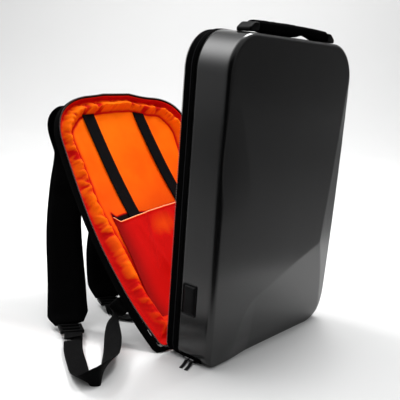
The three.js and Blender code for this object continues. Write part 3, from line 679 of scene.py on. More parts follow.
def vary_roughness(tree, shader, value, low, high):
    node = add(tree, "ShaderNodeMapRange", {0: value, 3: low, 4: high})
    tree.links.new(node.outputs[0], shader.inputs["Roughness"])


def cloth_finish(name, dark, light, threads, rough, bump_mm, flecks=0.0):
    """Black woven cloth: uneven tone, with threads as bumps and their gaps darker, and a painted highlight in
    grey where the mark is 1."""
    material, tree, shader = new_finish(name, rough, 0.012)
    place = add(tree, "ShaderNodeAttribute", attribute_name="cloth").outputs["Vector"]
    weave = use(tree, WEAVE, {"Place": place, "Threads": threads})
    tone = uneven(tree, dark, light, (0.08, 0.08, 0.08), 24.0, flecks)
    gaps = math(tree, "MULTIPLY", weave["Gaps"], 0.4)
    woven = mix(tree, gaps, tone["Colour"], rgba(tuple(0.4 * c for c in dark)))
    mark = add(tree, "ShaderNodeAttribute", attribute_name="mark").outputs["Fac"]
    # Painted highlight: where the mark is 1 the black cloth turns grey, a light line along the binding's
    # bead.
    colour = mix(tree, mark, woven, rgba((0.015, 0.015, 0.016)))
    tree.links.new(colour, shader.inputs["Base Color"])
    raise_bump(tree, shader, weave["Height"], 0.5, bump_mm)
    vary_roughness(tree, shader, tone["Patch"], rough - 0.05, rough + 0.05)
    return material


def lining_finish():
    """Lining cloth that goes from orange to a painted shade that reddens it as the mark goes from 0 to 1, to
    black for a painted shadow at 2, and to a pale thread at -1."""
    material, tree, shader = new_finish("orange lining", 0.6, 0.03)
    place = add(tree, "ShaderNodeAttribute", attribute_name="cloth").outputs["Vector"]
    mark = add(tree, "ShaderNodeAttribute", attribute_name="mark").outputs["Fac"]
    weave = use(tree, WEAVE, {"Place": place, "Threads": 2200.0})
    colour = uneven(tree, (0.95, 0.13, 0.001), (1.0, 0.2, 0.002), (1.0, 0.3, 0.05), 14.0, 0.0)["Colour"]
    # Painted shade and shadow: the reddening colour deepens the orange in shaded places, and the black is a
    # painted shadow inside the pocket.
    shade_red, black, thread = (0.54, 0.004, 0.003), (0.006, 0.002, 0.002), (1.0, 0.5, 0.28)
    for near, far, other in ((0, 1, shade_red), (1, 2, black), (0, -1, thread)):
        colour = mix(tree, ramp(tree, mark, near, far), colour, rgba(other))
    tree.links.new(colour, shader.inputs["Base Color"])
    raise_bump(tree, shader, weave["Height"], 0.4, 0.1)
    return material


def webbing_finish(name, dark, light, ribs):
    """Ribbed webbing with a low sheen."""
    material, tree, shader = new_finish(name, 0.7, 0.04)
    place = add(tree, "ShaderNodeAttribute", attribute_name="cloth").outputs["Vector"]
    height = use(tree, RIBS, {"Place": place, "Ribs": ribs})["Height"]
    tone = uneven(tree, dark, light, (0.1, 0.1, 0.1), 40.0, 0.25)
    tree.links.new(tone["Colour"], shader.inputs["Base Color"])
    raise_bump(tree, shader, height, 0.6, 0.35)
    vary_roughness(tree, shader, tone["Patch"], 0.62, 0.76)
    return material


def plastic_finish(name, dark, light, rough, cells, depth):
    """Moulded plastic: fine grain and a slightly uneven gloss."""
    material, tree, shader = new_finish(name, rough, 0.07)
    tone = uneven(tree, dark, light, light, 9.0, 0.2)
    tree.links.new(tone["Colour"], shader.inputs["Base Color"])
    raise_bump(tree, shader, use(tree, GRAIN, {"Cells": cells})["Height"], 0.35, depth)
    vary_roughness(tree, shader, tone["Patch"], rough - 0.04, rough + 0.05)
    return material


def shell_finish():
    """The shell: satin grained plastic outside, plain lining cloth where the mark is 1."""
    material, tree, shader = new_finish("shell satin", 0.2, 0.45)
    inside = add(tree, "ShaderNodeAttribute", attribute_name="mark").outputs["Fac"]
    dark, light, fleck = (0.0026, 0.0026, 0.0027), (0.0036, 0.0036, 0.0037), (0.03, 0.03, 0.03)
    tone = uneven(tree, dark, light, fleck, 6.0, 0.3)
    colour = mix(tree, inside, tone["Colour"], rgba((0.8, 0.11, 0.004)))
    tree.links.new(colour, shader.inputs["Base Color"])
    raise_bump(tree, shader, use(tree, GRAIN, {"Cells": 1100.0})["Height"], 0.2, 0.08)
    gloss = add(tree, "ShaderNodeMapRange", {0: tone["Patch"], 3: 0.19, 4: 0.225}).outputs[0]
    rough = add(tree, "ShaderNodeMix", {0: inside, 2: gloss, 3: 0.75})
    tree.links.new(rough.outputs[0], shader.inputs["Roughness"])
    return material


def metal_finish():
    """Black lacquered metal, worn to bare metal in small patches."""
    material, tree, shader = new_finish("zip metal", 0.35)
    tone = uneven(tree, (0.003, 0.003, 0.0032), (0.008, 0.008, 0.0085), (0.2, 0.2, 0.21), 180.0, 0.6)
    tree.links.new(tone["Colour"], shader.inputs["Base Color"])
    vary_roughness(tree, shader, tone["Patch"], 0.28, 0.45)
    shader.inputs["Metallic"].default_value = 0.4
    return material


SHELL = shell_finish()
BLACK_CLOTH = cloth_finish(
    "black cloth", (0.0010, 0.0010, 0.0011), (0.0020, 0.0020, 0.0021), 1100.0, 0.85, 0.25, 0.15
)
AIR_MESH = cloth_finish("air mesh", (0.018, 0.018, 0.019), (0.03, 0.03, 0.032), 420.0, 0.9, 0.8, 0.1)
ZIP_TAPE = cloth_finish(
    "zip tape", (0.0006, 0.0006, 0.0007), (0.0012, 0.0012, 0.0013), 1500.0, 0.8, 0.15, 0.1
)
ORANGE = lining_finish()
WEBBING = webbing_finish("black webbing", (0.0012, 0.0012, 0.0013), (0.0022, 0.0022, 0.0024), 620.0)
ELASTIC = webbing_finish("black elastic", (0.0018, 0.0019, 0.0024), (0.003, 0.0032, 0.004), 800.0)
TRIM = plastic_finish("black trim", (0.0012, 0.0012, 0.0013), (0.0022, 0.0022, 0.0024), 0.42, 1500.0, 0.08)
# The teeth are grey plastic, made paler so that their row also stands as a painted highlight line along both
# rims.
TEETH = plastic_finish("zip teeth", (0.085, 0.075, 0.072), (0.15, 0.13, 0.125), 0.38, 3000.0, 0.03)
METAL = metal_finish()


# Shell


def cut_front(front, x, z):
    """Level of the front with its facet, bevel and base roll. The facet falls away below a crease that is
    straight and bends down at its left, fast at first and then less. The bevel slopes evenly to the right
    from its border, and the roll grows with the square of the distance below its start."""
    past = np.maximum(CREASE["bend_x"] - x, 0)
    crease = CREASE["height"] + CREASE["slope"] * x - CREASE["bend"] * past**2
    below = (crease - z) / np.hypot(1, CREASE["slope"] + 2 * CREASE["bend"] * past)
    fall = 1 - (1 - np.clip(below / FACET["reach"], -1, 1)) ** FACET["curve"]
    facet = soft_max(front, front + FACET["depth"] * fall, 0.15 + 1.5 * smoothstep(-80, -120, x))
    bevel = front + BEVEL["slope"] * (x - np.interp(z, *BEVEL["border"]))
    roll = BASE_ROLL["depth"] * (1 - np.clip(z / BASE_ROLL["height"], 0, 1)) ** 2
    return soft_max(facet, bevel, CUT_ROUNDING) + roll


def shell_rings(set_in, side_count, edge_count, front_count):
    """Rings from the rim to the middle of the front: the side wall flares, a rounded edge follows a
    quarter of an ellipse, and the front is crowned, with cuts and a narrow strip that slopes back at the
    upper left."""
    side = np.linspace(0, 1, side_count)
    turn = np.linspace(0, np.pi / 2, edge_count + 1)[1:]
    reach = SHELL_RIM["width"] / 2 + SHELL_FLARE[1] - 1.3 - set_in
    inward = np.linspace(SHELL_EDGE, reach, front_count + 1)[1:]
    y = np.concatenate([
        SHELL_BACK + (SHELL_SIDE_END - SHELL_BACK) * side,
        SHELL_SIDE_END + (SHELL_FRONT - SHELL_SIDE_END) * np.sin(turn),
        np.full(front_count, SHELL_FRONT),
    ])
    inset = np.concatenate([0 * side, SHELL_EDGE * (1 - np.cos(turn)), inward])
    along_wall = np.concatenate([side, np.ones(edge_count + front_count)])
    flare = np.interp(along_wall, (0, 1), SHELL_FLARE)
    drop = np.interp(along_wall, (0, 1), SHELL_DROP)
    growth = SHELL_CORNER_GROWTH * along_wall
    rings = np.stack([
        on_shell(rim_outline(SHELL_RIM, i + set_in, f, d, g), level)
        for i, f, d, g, level in zip(inset, flare, drop, growth, y)
    ])
    x, z = rings[..., 0], rings[..., 2]
    half_x, half_z = SHELL_RIM["width"] / 2, SHELL_RIM["length"] / 2
    bulge = np.clip(1 - (np.minimum(x, SHELL_CROWN["flat_from"]) / half_x) ** 2, 0, 1)
    bulge = bulge * np.clip(1 - ((z - half_z) / half_z) ** 2, 0, 1)
    beside = np.clip(np.interp(z, *STRIP_BORDER) - x, 0, None)
    push = STRIP_SLOPE * beside * smoothstep(*STRIP_FADE, z) - SHELL_CROWN["height"] * bulge
    level = rings[..., 1] + push * smoothstep(0, SHELL_EDGE, inset)[:, None]
    level = np.maximum(level, cut_front(SHELL_FRONT + push, x, z))
    rings[..., 1] = np.where(np.arange(len(rings))[:, None] == 0, SHELL_BACK, level + set_in)
    rings[-1, :, 0] = 0
    return rings


def make_shell():
    outer = shell_rings(0.0, 16, 10, 88)
    inner = shell_rings(SHELL_WALL, 8, 4, 20)
    rings = np.concatenate([outer[::-1], inner])
    mark = np.repeat(np.concatenate([np.zeros(len(outer)), np.ones(len(inner))]), rings.shape[1])
    put("shell_moulding", [ring_solid(rings, filled=False)], SHELL, ["shell"], mark=[mark])


def make_port_cover():
    """A plate on the side wall: nested outlines at heights that make a raised bezel, a groove and a
    panel."""
    steps = (
        (0.4, -2.4), (0.0, -0.4), (0.1, 0.7), (0.5, 1.3), (1.1, 1.35), (1.5, 0.9), (1.7, 0.1), (3.4, 0.1),
        (3.6, 1.2), (4.2, 1.7), (8.0, 1.8), (12.4, 1.8),
    )
    rings = []
    for inset, height in steps:
        flat = rim_outline(PORT_RIM, inset)
        y, z = flat[:, 0] + PORT_PLACE["y"], flat[:, 1] + PORT_PLACE["z"]
        wall = -SHELL_RIM["width"] / 2 - np.interp(-y, (-SHELL_BACK, -SHELL_SIDE_END), SHELL_FLARE)
        rings.append(np.stack([wall - height, y, z], 1))
    put("port_cover_plate", [ring_solid(np.stack(rings))], TRIM, ["port_cover"])


def rim_band(rim, profile, place, ripple=0.0, seed=1):
    """A closed profile of (inset, level) carried round a rim, with its inset rippled by noise. Gives the
    solid and each point's place on the cloth: round the rim and round the profile."""
    profile = np.asarray(profile, float)
    base = rim_outline(rim)
    round_rim = length_along(np.vstack([base, base[:1]]))[:-1]
    rings = np.stack([place(rim_outline(rim, i), level) for i, level in profile], 1)
    if ripple:
        push = ripple * noise(round_rim[:, None] / 23, profile[None, :, 1] / 9, seed)
        outward = unit(rings - rings.mean(axis=(0, 1)))
        rings = rings + outward * push[..., None]
    across = length_along(profile)
    cloth = np.stack(np.broadcast_arrays(round_rim[:, None], across[None, :]), -1)
    return ring_solid(rings, closed=True), cloth


def make_shell_edge():
    binding = (
        (3.2, -17.9), (1.2, -18.0), (0.1, -17.5), (-0.7, -16.2), (-1.0, -14.2), (-0.8, -12.2), (-0.1, -11.0),
        (-0.3, -10.5), (-0.9, -10.1), (-1.1, -9.5), (-0.8, -8.95), (0.2, -8.8), (3.2, -8.8),
    )
    tape = ((3.0, -8.5), (0.8, -8.5), (0.45, -8.0), (0.4, -5), (0.5, -1), (0.55, 2.0), (0.9, 2.6), (3.0, 2.6))
    solid, cloth = rim_band(SHELL_RIM, binding, on_shell, 0.25, 3)
    # The bead next to the zip tape is marked for a painted highlight, a grey line along the binding.
    piping_highlight = np.array([level > -10.3 and inset < -0.7 for inset, level in binding], float)
    mark = np.broadcast_to(piping_highlight, cloth.shape[:2])
    put("rim_binding", [solid], BLACK_CLOTH, ["shell_binding"], [cloth], [mark])
    solid, cloth = rim_band(SHELL_RIM, tape, on_shell, 0.2, 4)
    put("rim_zip_tape", [solid], ZIP_TAPE, ["zip_tape_shell"], [cloth])


def make_teeth(name, rim, place, inset, level, node):
    """Zip teeth: small rounded blocks, evenly spaced round a rim and set across it."""
    outer, inner = (place(rim_outline(rim, i), level) for i in (inset - 1, inset + 1))
    middle = (outer + inner) / 2
    closed = np.vstack([middle, middle[:1]])
    along = length_along(closed)
    at = np.arange(0, along[-1] - TOOTH["pitch"] / 2, TOOTH["pitch"])
    where = np.stack([np.interp(at, along, closed[:, k]) for k in range(3)], 1)
    way = unit(np.stack([np.interp(at + 0.5, along, closed[:, k]) for k in range(3)], 1) - where)
    side = outer - inner
    side = unit(np.stack([np.interp(at, along, np.append(side[:, k], side[0, k])) for k in range(3)], 1))
    tooth = capsule(TOOTH["length"], TOOTH["width"], TOOTH["height"])
    solid = repeated(where, (side, way, np.cross(side, way)), *tooth)
    put(name, [solid], TEETH, [node])


# Flap


def border_level(distance):
    """Level of the lining over its border: an inner wall, a round roll and a deep crease before the flat
    panel, eased between the turning points."""
    turns = ((4.0, -0.8), (12.0, -9.2), (26.0, 1.4), (41.5, -12.2), (48.0, PANEL_LEVEL))
    level = np.full(np.shape(distance), turns[0][1])
    for (d0, l0), (d1, l1) in zip(turns, turns[1:]):
        level = level + (l1 - l0) * smoothstep(d0, d1, distance)
    return level


def pocket_mouth(x):
    """Length along the flap of the pocket's mouth: it rises to the right and turns up at the left end."""
    return POCKET["mouth"] + 0.11 * x + 14 * smoothstep(-90, -104, x)


def lining_level(x, s):
    """Level of the lining and a mask of its painted shade. The border is narrow along the top and broad low
    down, with gathers across its roll and a wavy crease, and the panel is slightly uneven. Painted shade
    makes it redder on the wall, in the creases and low down, less so where the roll's top is lit, and a
    painted shadow makes it black inside the pocket."""
    facing_top = np.maximum(np.cos(np.arctan2(x / FLAP_RIM["width"], s / FLAP_RIM["length"] - 0.5)), 0) ** 2
    low = smoothstep(290, 150, s)
    p = round_flap(x, s)
    d = 4 + (edge_distance(x, s) - 4) / (1 - 0.34 * facing_top + 0.3 * low)
    d = d + 2.4 * noise(p / 34, 0 * d, 20) * smoothstep(12, 30, d)
    sway = 0.5 * noise(p / 45, d / 40, 11)
    gathers = ridges(p / 15 + sway, d / 55, 12) - 0.5
    slanted = ridges((p + 0.8 * d) / 21, (p - d) / 60, 22) - 0.5
    fine = ridges(p / 7.5 + sway, d / 30, 14) - 0.5
    roll = bump(9, 43, d)
    strong = 0.55 + 0.45 * smoothstep(0.3, 0.8, facing_top) + 0.3 * noise(p / 90, 0 * d, 15)
    pucker = strong * roll * (6.0 * gathers + 6.0 * slanted + 2.4 * fine)
    seam = 0.9 * bump(3, 14, d) * smoothstep(4, 6, d) * (ridges(p / 6, d / 20, 16) - 0.5)
    in_panel = smoothstep(44, 60, d)
    uneven = in_panel * (0.8 * noise(x / 55, s / 70, 17) + 0.3 * noise(x / 20, s / 26, 18))
    slack = 1.4 * bump(36, 60, d) * (ridges(p / 24, d / 40, 19) - 0.4)
    level = soft_max(border_level(d) + pucker + 4.0 * low * roll + seam + uneven + slack, LINING_FLOOR, 1.0)
    # Painted shade and highlight: the mask reddens the wall, the creases, the roll's outer slope, the lower
    # panel and the hollows between puckers, less on the lit top of the roll.
    patchy = 0.75 + 0.45 * noise(p / 26, d / 30, 24)
    crest_highlight = np.clip(np.exp(-(((d - 28) / 9) ** 2)) * patchy * (1 - 0.85 * smoothstep(150, 40, s)), 0, 1)
    wall = 0.95 * np.exp(-(((d - 8) / 6) ** 2))
    crease = np.exp(-(((d - 41.5) / 3) ** 2)) * (0.5 + 0.6 * smoothstep(230, 290, s))
    slope = (0.25 + 0.65 * low) * (1 - crest_highlight) * smoothstep(47, 40, d)
    panel = (0.1 + 0.4 * smoothstep(330, 215, s)) * smoothstep(40, 50, d)
    shade_red = np.clip(wall + crease + slope + panel + 0.9 * np.clip(-pucker / 2.0, 0, 1), 0, 1.15)
    # Painted shadow: the panel is black just inside the pocket's mouth.
    reach = pocket_mouth(x) + 4 + 8 * bump(-125, -25, x)
    behind = smoothstep(-102, -99, x) * smoothstep(112, 108, x) * smoothstep(-16, -12, s - pocket_mouth(x))
    inside = behind * smoothstep(2, -2, s - reach)
    return level, shade_red + (2 - shade_red) * inside


def flap_grid(rows, columns, inset):
    """Grid of x and s over the flap inside its outline, closer together near the edges."""

    def ease(count):
        slow = 0.55 + 0.45 * abs(np.linspace(-1, 1, count))
        return 0.5 - 0.5 * np.cos(np.pi * np.linspace(0, 1, count)) * slow

    s = inset + (FLAP_RIM["length"] - 2 * inset) * ease(rows)
    x = (2 * ease(columns) - 1)[None, :] * half_width(s, inset)[:, None]
    return x, np.broadcast_to(s[:, None], x.shape)


def make_lining():
    x, s = flap_grid(230, 190, 4.0)
    # folds carries the mask of painted shade on the lining, and of painted shadow inside the pocket.
    level, folds = lining_level(x, s)
    front, back = on_flap(x, s, level), on_flap(x, s, level - 1.0)
    lining = sheet_solid(front, back)
    piece = put("lining_cloth", [lining], ORANGE, ["flap_lining"], [both_faces(x, s)], [folds] * 2)


def pocket_level(x, s, part):
    """Level of the pocket's front over the panel and a mask of its painted shade, at a part of its width. It
    swells between its seams, more towards the mouth, with slack folds that run down from the mouth, one
    slanting pleat and a rolled hem. Painted shade makes it darkest along its left seam, and redder low down,
    in its fold hollows and along the pleat's crease; a painted pool of light makes it less so below the
    middle of its mouth."""
    across = np.maximum(4 * part * (1 - part), 0) ** 0.8
    rise = smoothstep(46, 150, s)
    folds = 3.0 * (ridges(x / 34 + 0.3 * (s - 130) / 90, s / 190, 21) - 0.5)
    folds = folds + 1.2 * (ridges(x / 13 + 0.4 * (s - 130) / 60, s / 90, 23) - 0.5)
    from_pleat = x + 42 + 0.287 * (218 - s)
    pleat = 1.8 * smoothstep(-1.5, 1.5, from_pleat) * smoothstep(40, 2, from_pleat) * smoothstep(105, 135, s)
    hem = 0.8 * smoothstep(221, 224, s)
    shape = across * rise * folds + pleat
    # Painted shade: the seam, the pleat's crease, the fold hollows and the lower part are reddened; light is
    # a painted pool of light below the mouth.
    seam = smoothstep(0.16, 0.0, part)
    light = np.exp(-(((x + 15) / 26) ** 2) - ((s - 196) / 20) ** 2)
    crease = 0.4 * np.exp(-((from_pleat / 2.5) ** 2)) * smoothstep(105, 135, s)
    shade_red = 0.97 + 0.2 * smoothstep(200, 110, s) + 0.5 * np.clip(-shape / 2.5, 0, 1) + crease - 0.4 * light
    shade_red = np.clip(shade_red, 0, 1) + 0.08 + 0.5 * seam**2
    shade_red = shade_red - (shade_red + 1) * smoothstep(225.2, 226, s)
    return PANEL_LEVEL + 0.6 + 13.0 * across * rise + shape + hem, shade_red


def make_pocket():
    rows, columns = 150, 150
    low, mouth = POCKET["low"], POCKET["mouth"]
    flat_s = np.linspace(low, mouth, rows)[:, None]
    part = np.linspace(0, 1, columns)[None, :]
    left = POCKET["left"] - POCKET["spread"] * smoothstep(170, 60, flat_s)
    flat_s, part, left = np.broadcast_arrays(flat_s, part, left)
    x = left + (POCKET["right"] - left) * part
    s = low + (pocket_mouth(x) - low) * (flat_s - low) / (mouth - low)
    level, shade_red = pocket_level(x, flat_s, part)
    front, back = on_flap(x, s, level + 1.2), on_flap(x, s, level)
    pocket = sheet_solid(front, back)
    piece = put("pocket_front", [pocket], ORANGE, ["pocket"], [both_faces(x, s)], [shade_red] * 2)


def make_elastics():
    """Flat bands over the panel: straight from the pocket to the upper crease, with edges a little
    lower than the middle."""
    low, high = ELASTIC_ENDS
    for name, low_x, high_x in ELASTICS:
        part = np.linspace(0, 1, 90)[:, None]
        edge = np.linspace(-1, 1, 13)[None, :]
        s = low + (high - low) * part
        x = low_x + (high_x - low_x) * (s - low) / ELASTIC_RUN + ELASTIC_HALF_WIDTH * edge
        s, x = np.broadcast_arrays(s, x)
        lift = 0.9 * bump(210, 425, s) - 0.25 * edge**4 + 0.25 * noise(s / 30, x / 40, 31)
        level = PANEL_LEVEL + 1.2 + lift
        band = sheet_solid(on_flap(x, s, level + 1.1), on_flap(x, s, level))
        cloth = both_faces(x - low_x, s)
        put(f"elastic_band_{name}", [band], ELASTIC, [f"elastic_{name}"], [cloth])


def flap_side(outline, level):
    """Place on the flap's side cloth, which bellies out and down to the floor at the lower left."""
    x, s = outline[:, 0], outline[:, 1]
    belly = smoothstep(-100, -150, x) * smoothstep(170, 20, s) * bump(-14, 1.5, level)
    place = on_flap(x, s, level) + belly[:, None] * np.array([-8.0, 0, -7.0])
    place[:, 2] = np.maximum(place[:, 2], 0.6)
    return place


def make_flap_edge():
    profile = (
        (2.6, -0.2), (0.8, 0.0), (0.1, -0.5), (-0.2, -2.0), (-0.3, -5.0), (0.0, -8.5), (0.2, -11.6),
        (0.4, -14.4), (0.8, -14.9), (1.2, -14.4), (1.5, -12.9), (4.6, -12.6), (4.2, -9.0), (3.2, -4.0),
    )
    solid, cloth = rim_band(FLAP_RIM, profile, flap_side, 0.25, 5)
    put("flap_side_cloth", [solid], BLACK_CLOTH, ["zip_tape_flap"], [cloth])

    def on_rim(outline, level):
        return on_flap(outline[:, 0], outline[:, 1], level)

    make_teeth("flap_zip_teeth", FLAP_RIM, on_rim, 1.3, 1.1, "zip_teeth_flap")


def back_solid():
    """The back pad before it swells: a flat face towards the lining, and a face that rises from thick
    edges along part of a circle."""
    x, s = flap_grid(120, 90, PAD["inset"])
    rounding = 10 + 24 * smoothstep(0, 150, s)
    short = 1 - np.clip((edge_distance(x, s) - PAD["inset"]) / rounding, 0, 1)
    depth = PAD["edge"] + PAD["crown"] * np.sqrt(np.clip(1 - short**2, 0, 1))
    return sheet_solid(on_flap(x, s, PAD["front"]), on_flap(x, s, PAD["front"] - depth))


def inflate(piece, voxel, pressure, frames, cap):
    """Swells a padded piece with a cloth simulation: the mesh is remade of even cells, blown up without
    gravity, and no point moves further than the cap."""
    view = bpy.context.view_layer
    view.objects.active = piece
    remade = piece.modifiers.new("even cells", "REMESH")
    remade.mode = "VOXEL"
    remade.voxel_size = voxel * MM
    bpy.ops.object.modifier_apply(modifier=remade.name)
    count = len(piece.data.vertices)
    before = np.zeros(count * 3, np.float32)
    piece.data.vertices.foreach_get("co", before)
    cloth = piece.modifiers.new("swelling", "CLOTH")
    cloth.settings.use_pressure = True
    cloth.settings.uniform_pressure_force = pressure
    cloth.settings.effector_weights.gravity = 0
    cloth.settings.tension_stiffness = 30
    cloth.settings.bending_stiffness = 2
    scene = bpy.context.scene
    for step in range(1, frames + 1):
        scene.frame_set(step)
    shown = piece.evaluated_get(bpy.context.evaluated_depsgraph_get()).to_mesh()
    after = np.zeros(count * 3, np.float32)
    shown.vertices.foreach_get("co", after)
    piece.modifiers.remove(cloth)
    scene.frame_set(1)
    move = (after - before).reshape(-1, 3)
    size = np.linalg.norm(move, axis=1, keepdims=True)
    move *= np.minimum(1, cap * MM / np.maximum(size, 1e-9))
    piece.data.vertices.foreach_set("co", (before.reshape(-1, 3) + move).ravel())
    piece.data.update()
    finer = piece.modifiers.new("finer cells", "SUBSURF")
    finer.levels = finer.render_levels = 1
    bpy.ops.object.modifier_apply(modifier=finer.name)


def make_flap_back():
    piece = put("back_pad", [back_solid()], AIR_MESH, ["flap_back"])
    inflate(piece, voxel=4.5, pressure=4.0, frames=20, cap=1.4)
    points = np.zeros(len(piece.data.vertices) * 3, np.float32)
    piece.data.vertices.foreach_get("co", points)
    points = points.reshape(-1, 3)
    place = np.zeros_like(points)
    place[:, 0], place[:, 1] = points[:, 0], np.hypot(points[:, 1], points[:, 2])
    attribute = piece.data.attributes.new("cloth", "FLOAT_VECTOR", "POINT")
    attribute.data.foreach_set("vector", place.ravel())
    shade_smooth(piece.data)


def make_hinge():
    """A strip of cloth that sags between the shell's rim and the flap's lower edge."""
    x = np.linspace(-HINGE["half_width"], HINGE["half_width"], 120)[:, None]
    part = np.linspace(0, 1, 12)[None, :]
    end = on_flap(0.0, 1.0, -11.5)
    y = HINGE["y"] + (end[1] - HINGE["y"]) * part + 0 * x
    sag = 0.9 * np.sin(np.pi * part) - 0.25 * noise(x / 14, part * 2, 41)
    z = HINGE["z"] + (end[2] + 0.4 - HINGE["z"]) * part - sag
    low = np.stack(np.broadcast_arrays(x, y, z - 0.6), -1)
    high = np.stack(np.broadcast_arrays(x, y - 0.3, z + 0.8 + 5.0 * part**2), -1)
    put("hinge_cloth", [sheet_solid(high, low)], BLACK_CLOTH, ["hinge"], [both_faces(x, y)])


# Harness


def strap_stations(side, fall):
    """Stations of a shoulder strap: lying on the back panel, bowing off it, then falling."""
    x = side * STRAP_TOP_X
    lying = BACK_LEVEL - GAP - STRAP_THICKNESS / 2
    bow = [
        (on_flap(x, s, lying - lift), on_flap(x + 1, s, lying) - on_flap(x, s, lying), STRAP_BOW_WIDTH)
        for s, lift in STRAP_BOW
    ]
    return bow + list(fall)


def padded_profile(count):
    """Profile of a padded strap: pillowed faces between two sewn grooves, and round bound edges."""
    turn = np.linspace(0, 2 * np.pi, count, endpoint=False)
    a = np.sign(np.cos(turn)) * abs(np.cos(turn)) ** 0.55
    h = np.sign(np.sin(turn)) * abs(np.sin(turn)) ** 0.7
    thick = 0.46 + 0.54 * np.clip(1 - abs(a) ** 5, 0, 1)
    groove = 0.16 * np.exp(-(((abs(a) - 0.86) / 0.05) ** 2))
    return np.stack([a, STRAP_THICKNESS / 2 * h * (thick - groove)], 1)


def make_strap(name, side, fall):
    frames = strap_frames(strap_stations(side, fall), 260)
    middle, along, across, up, width = frames
    profile = padded_profile(64)
    a = profile[None, :, 0] * (width / 2)[:, None]
    run = length_along(middle)
    h = profile[None, :, 1] * (1 + 0.10 * noise(run[:, None] / 22, a / 30, 51))
    ends = np.minimum(run, run[-1] - run)
    taper = np.sqrt(np.clip(ends / 9, 0.02, 1))
    h = h * (0.45 + 0.55 * taper)[:, None]
    rings = middle[:, None] + across[:, None] * a[..., None] + up[:, None] * h[..., None]
    cloth = np.stack(np.broadcast_arrays(a, run[:, None]), -1)
    nodes = [f"shoulder_strap_{name}"]
    piece = put(f"padded_strap_{name}", [ring_solid(rings)], BLACK_CLOTH, nodes, [cloth])
    return frames


def flat_profile(thickness, count=8):
    """Profile of webbing: flat faces with half-round edges, as (part of half the width, height)."""
    a = np.linspace(-1, 1, count)
    height = thickness / 2 * (1 - 0.5 * abs(a) ** 12)
    return np.concatenate([np.stack([a, height], 1), np.stack([a[::-1], -height], 1)])


def make_webbing(name, stations, width, thickness, count, node):
    frames = strap_frames([(m, s, width) for m, s in stations], count)
    profile = flat_profile(thickness, 12)
    run = length_along(frames[0])
    cloth = np.stack(np.broadcast_arrays(profile[None, :, 0] * width / 2, run[:, None]), -1)
    put(name, [strap_solid(frames, profile)], WEBBING, [node], [cloth])


def buckle_leads(frames):
    """The first two stations of the webbing that comes out of a buckle at a strap's end."""
    middle, along = frames[0][-1], frames[1][-1]
    flat = unit(np.array([along[0], along[1], 0.0]))
    across = np.cross(flat, (0, 0, 1))
    start = middle + along * 2 * GAP
    start[2] = max(start[2] - BUCKLE["drop"], BUCKLE["thickness"] / 2 + GAP)
    return [(start + flat * (BUCKLE["length"] + beyond), across) for beyond in (2 * GAP, WEBBING_LEAD)]


def anchor_leads(side):
    """The last two stations of the webbing, out from its anchor's tip."""
    level = BACK_LEVEL - GAP - 1.0
    tip = on_flap(side * (FLAP_RIM["width"] / 2 + ANCHOR["reach"]), ANCHOR["at"], level)
    down = on_flap(0.0, ANCHOR["at"], 0.0) - on_flap(0.0, ANCHOR["at"] + 1, 0.0)
    return [(tip + np.array([side * beyond, 0, 0]), down) for beyond in (WEBBING_LEAD, 2 * GAP)]


def make_anchor(name, side):
    level = BACK_LEVEL - GAP - 1.0
    x = side * (FLAP_RIM["width"] / 2 + np.array([-ANCHOR["root"], ANCHOR["reach"]]))
    ends = on_flap(x, ANCHOR["at"], level)
    along = on_flap(0.0, ANCHOR["at"] + 1, 0.0) - on_flap(0.0, ANCHOR["at"], 0.0)
    frames = strap_frames([(ends[0], along, 28), (ends[1], along, 24)], 30)
    profile = flat_profile(2.0, 12)
    run = length_along(frames[0])
    cloth = np.stack(np.broadcast_arrays(profile[None, :, 0] * 13, run[:, None]), -1)
    put(f"anchor_tab_{name}", [strap_solid(frames, profile)], WEBBING, [f"anchor_{name}"], [cloth])


def make_chest_strap(left, right):
    """A short webbing between the two straps that bows out of each and sags between them."""

    def at(frames, part):
        i = part * (len(frames[0]) - 1)
        low = int(i)
        return [f[low] * (1 - (i - low)) + f[min(low + 1, len(f) - 1)] * (i - low) for f in frames]

    left_middle, left_along, left_across, _, left_width = at(left, CHEST["left_part"])
    right_middle, right_along, right_across, _, right_width = at(right, CHEST["right_part"])
    start = left_middle + left_across * (left_width / 2 + CHEST["gap"])
    end = right_middle - right_across * (right_width / 2 + CHEST["gap"])
    out, back = start + left_across * CHEST["lead"], end - right_across * CHEST["lead"]
    low = (out + back) / 2 - np.array([0, 0, CHEST["sag"]])
    across = (-left_along, -left_along, (0, 0, 1), -right_along, -right_along)
    stations = list(zip((start, out, low, back, end), across))
    make_webbing("chest_webbing", stations, CHEST["width"], WEBBING_THICKNESS, 70, "chest_strap")


def make_harness():
    sides = (("left", -1, LEFT_STRAP_FALL, LEFT_WEBBING), ("right", 1, RIGHT_STRAP_FALL, RIGHT_WEBBING))
    ways = []
    for name, side, fall, places in sides:
        frames = make_strap(name, side, fall)
        stations = buckle_leads(frames) + list(places) + anchor_leads(side)
        webbing, node = f"lower_webbing_{name}", f"webbing_{name}"
        make_webbing(webbing, stations, WEBBING_WIDTH, WEBBING_THICKNESS, 240, node)
        make_anchor(name, side)
        softened(f"buckle_{name}", f"ladder_buckle_{name}", TRIM, 1.1)
        ways.append(frames)
    make_chest_strap(*ways)


# Handle and zip end


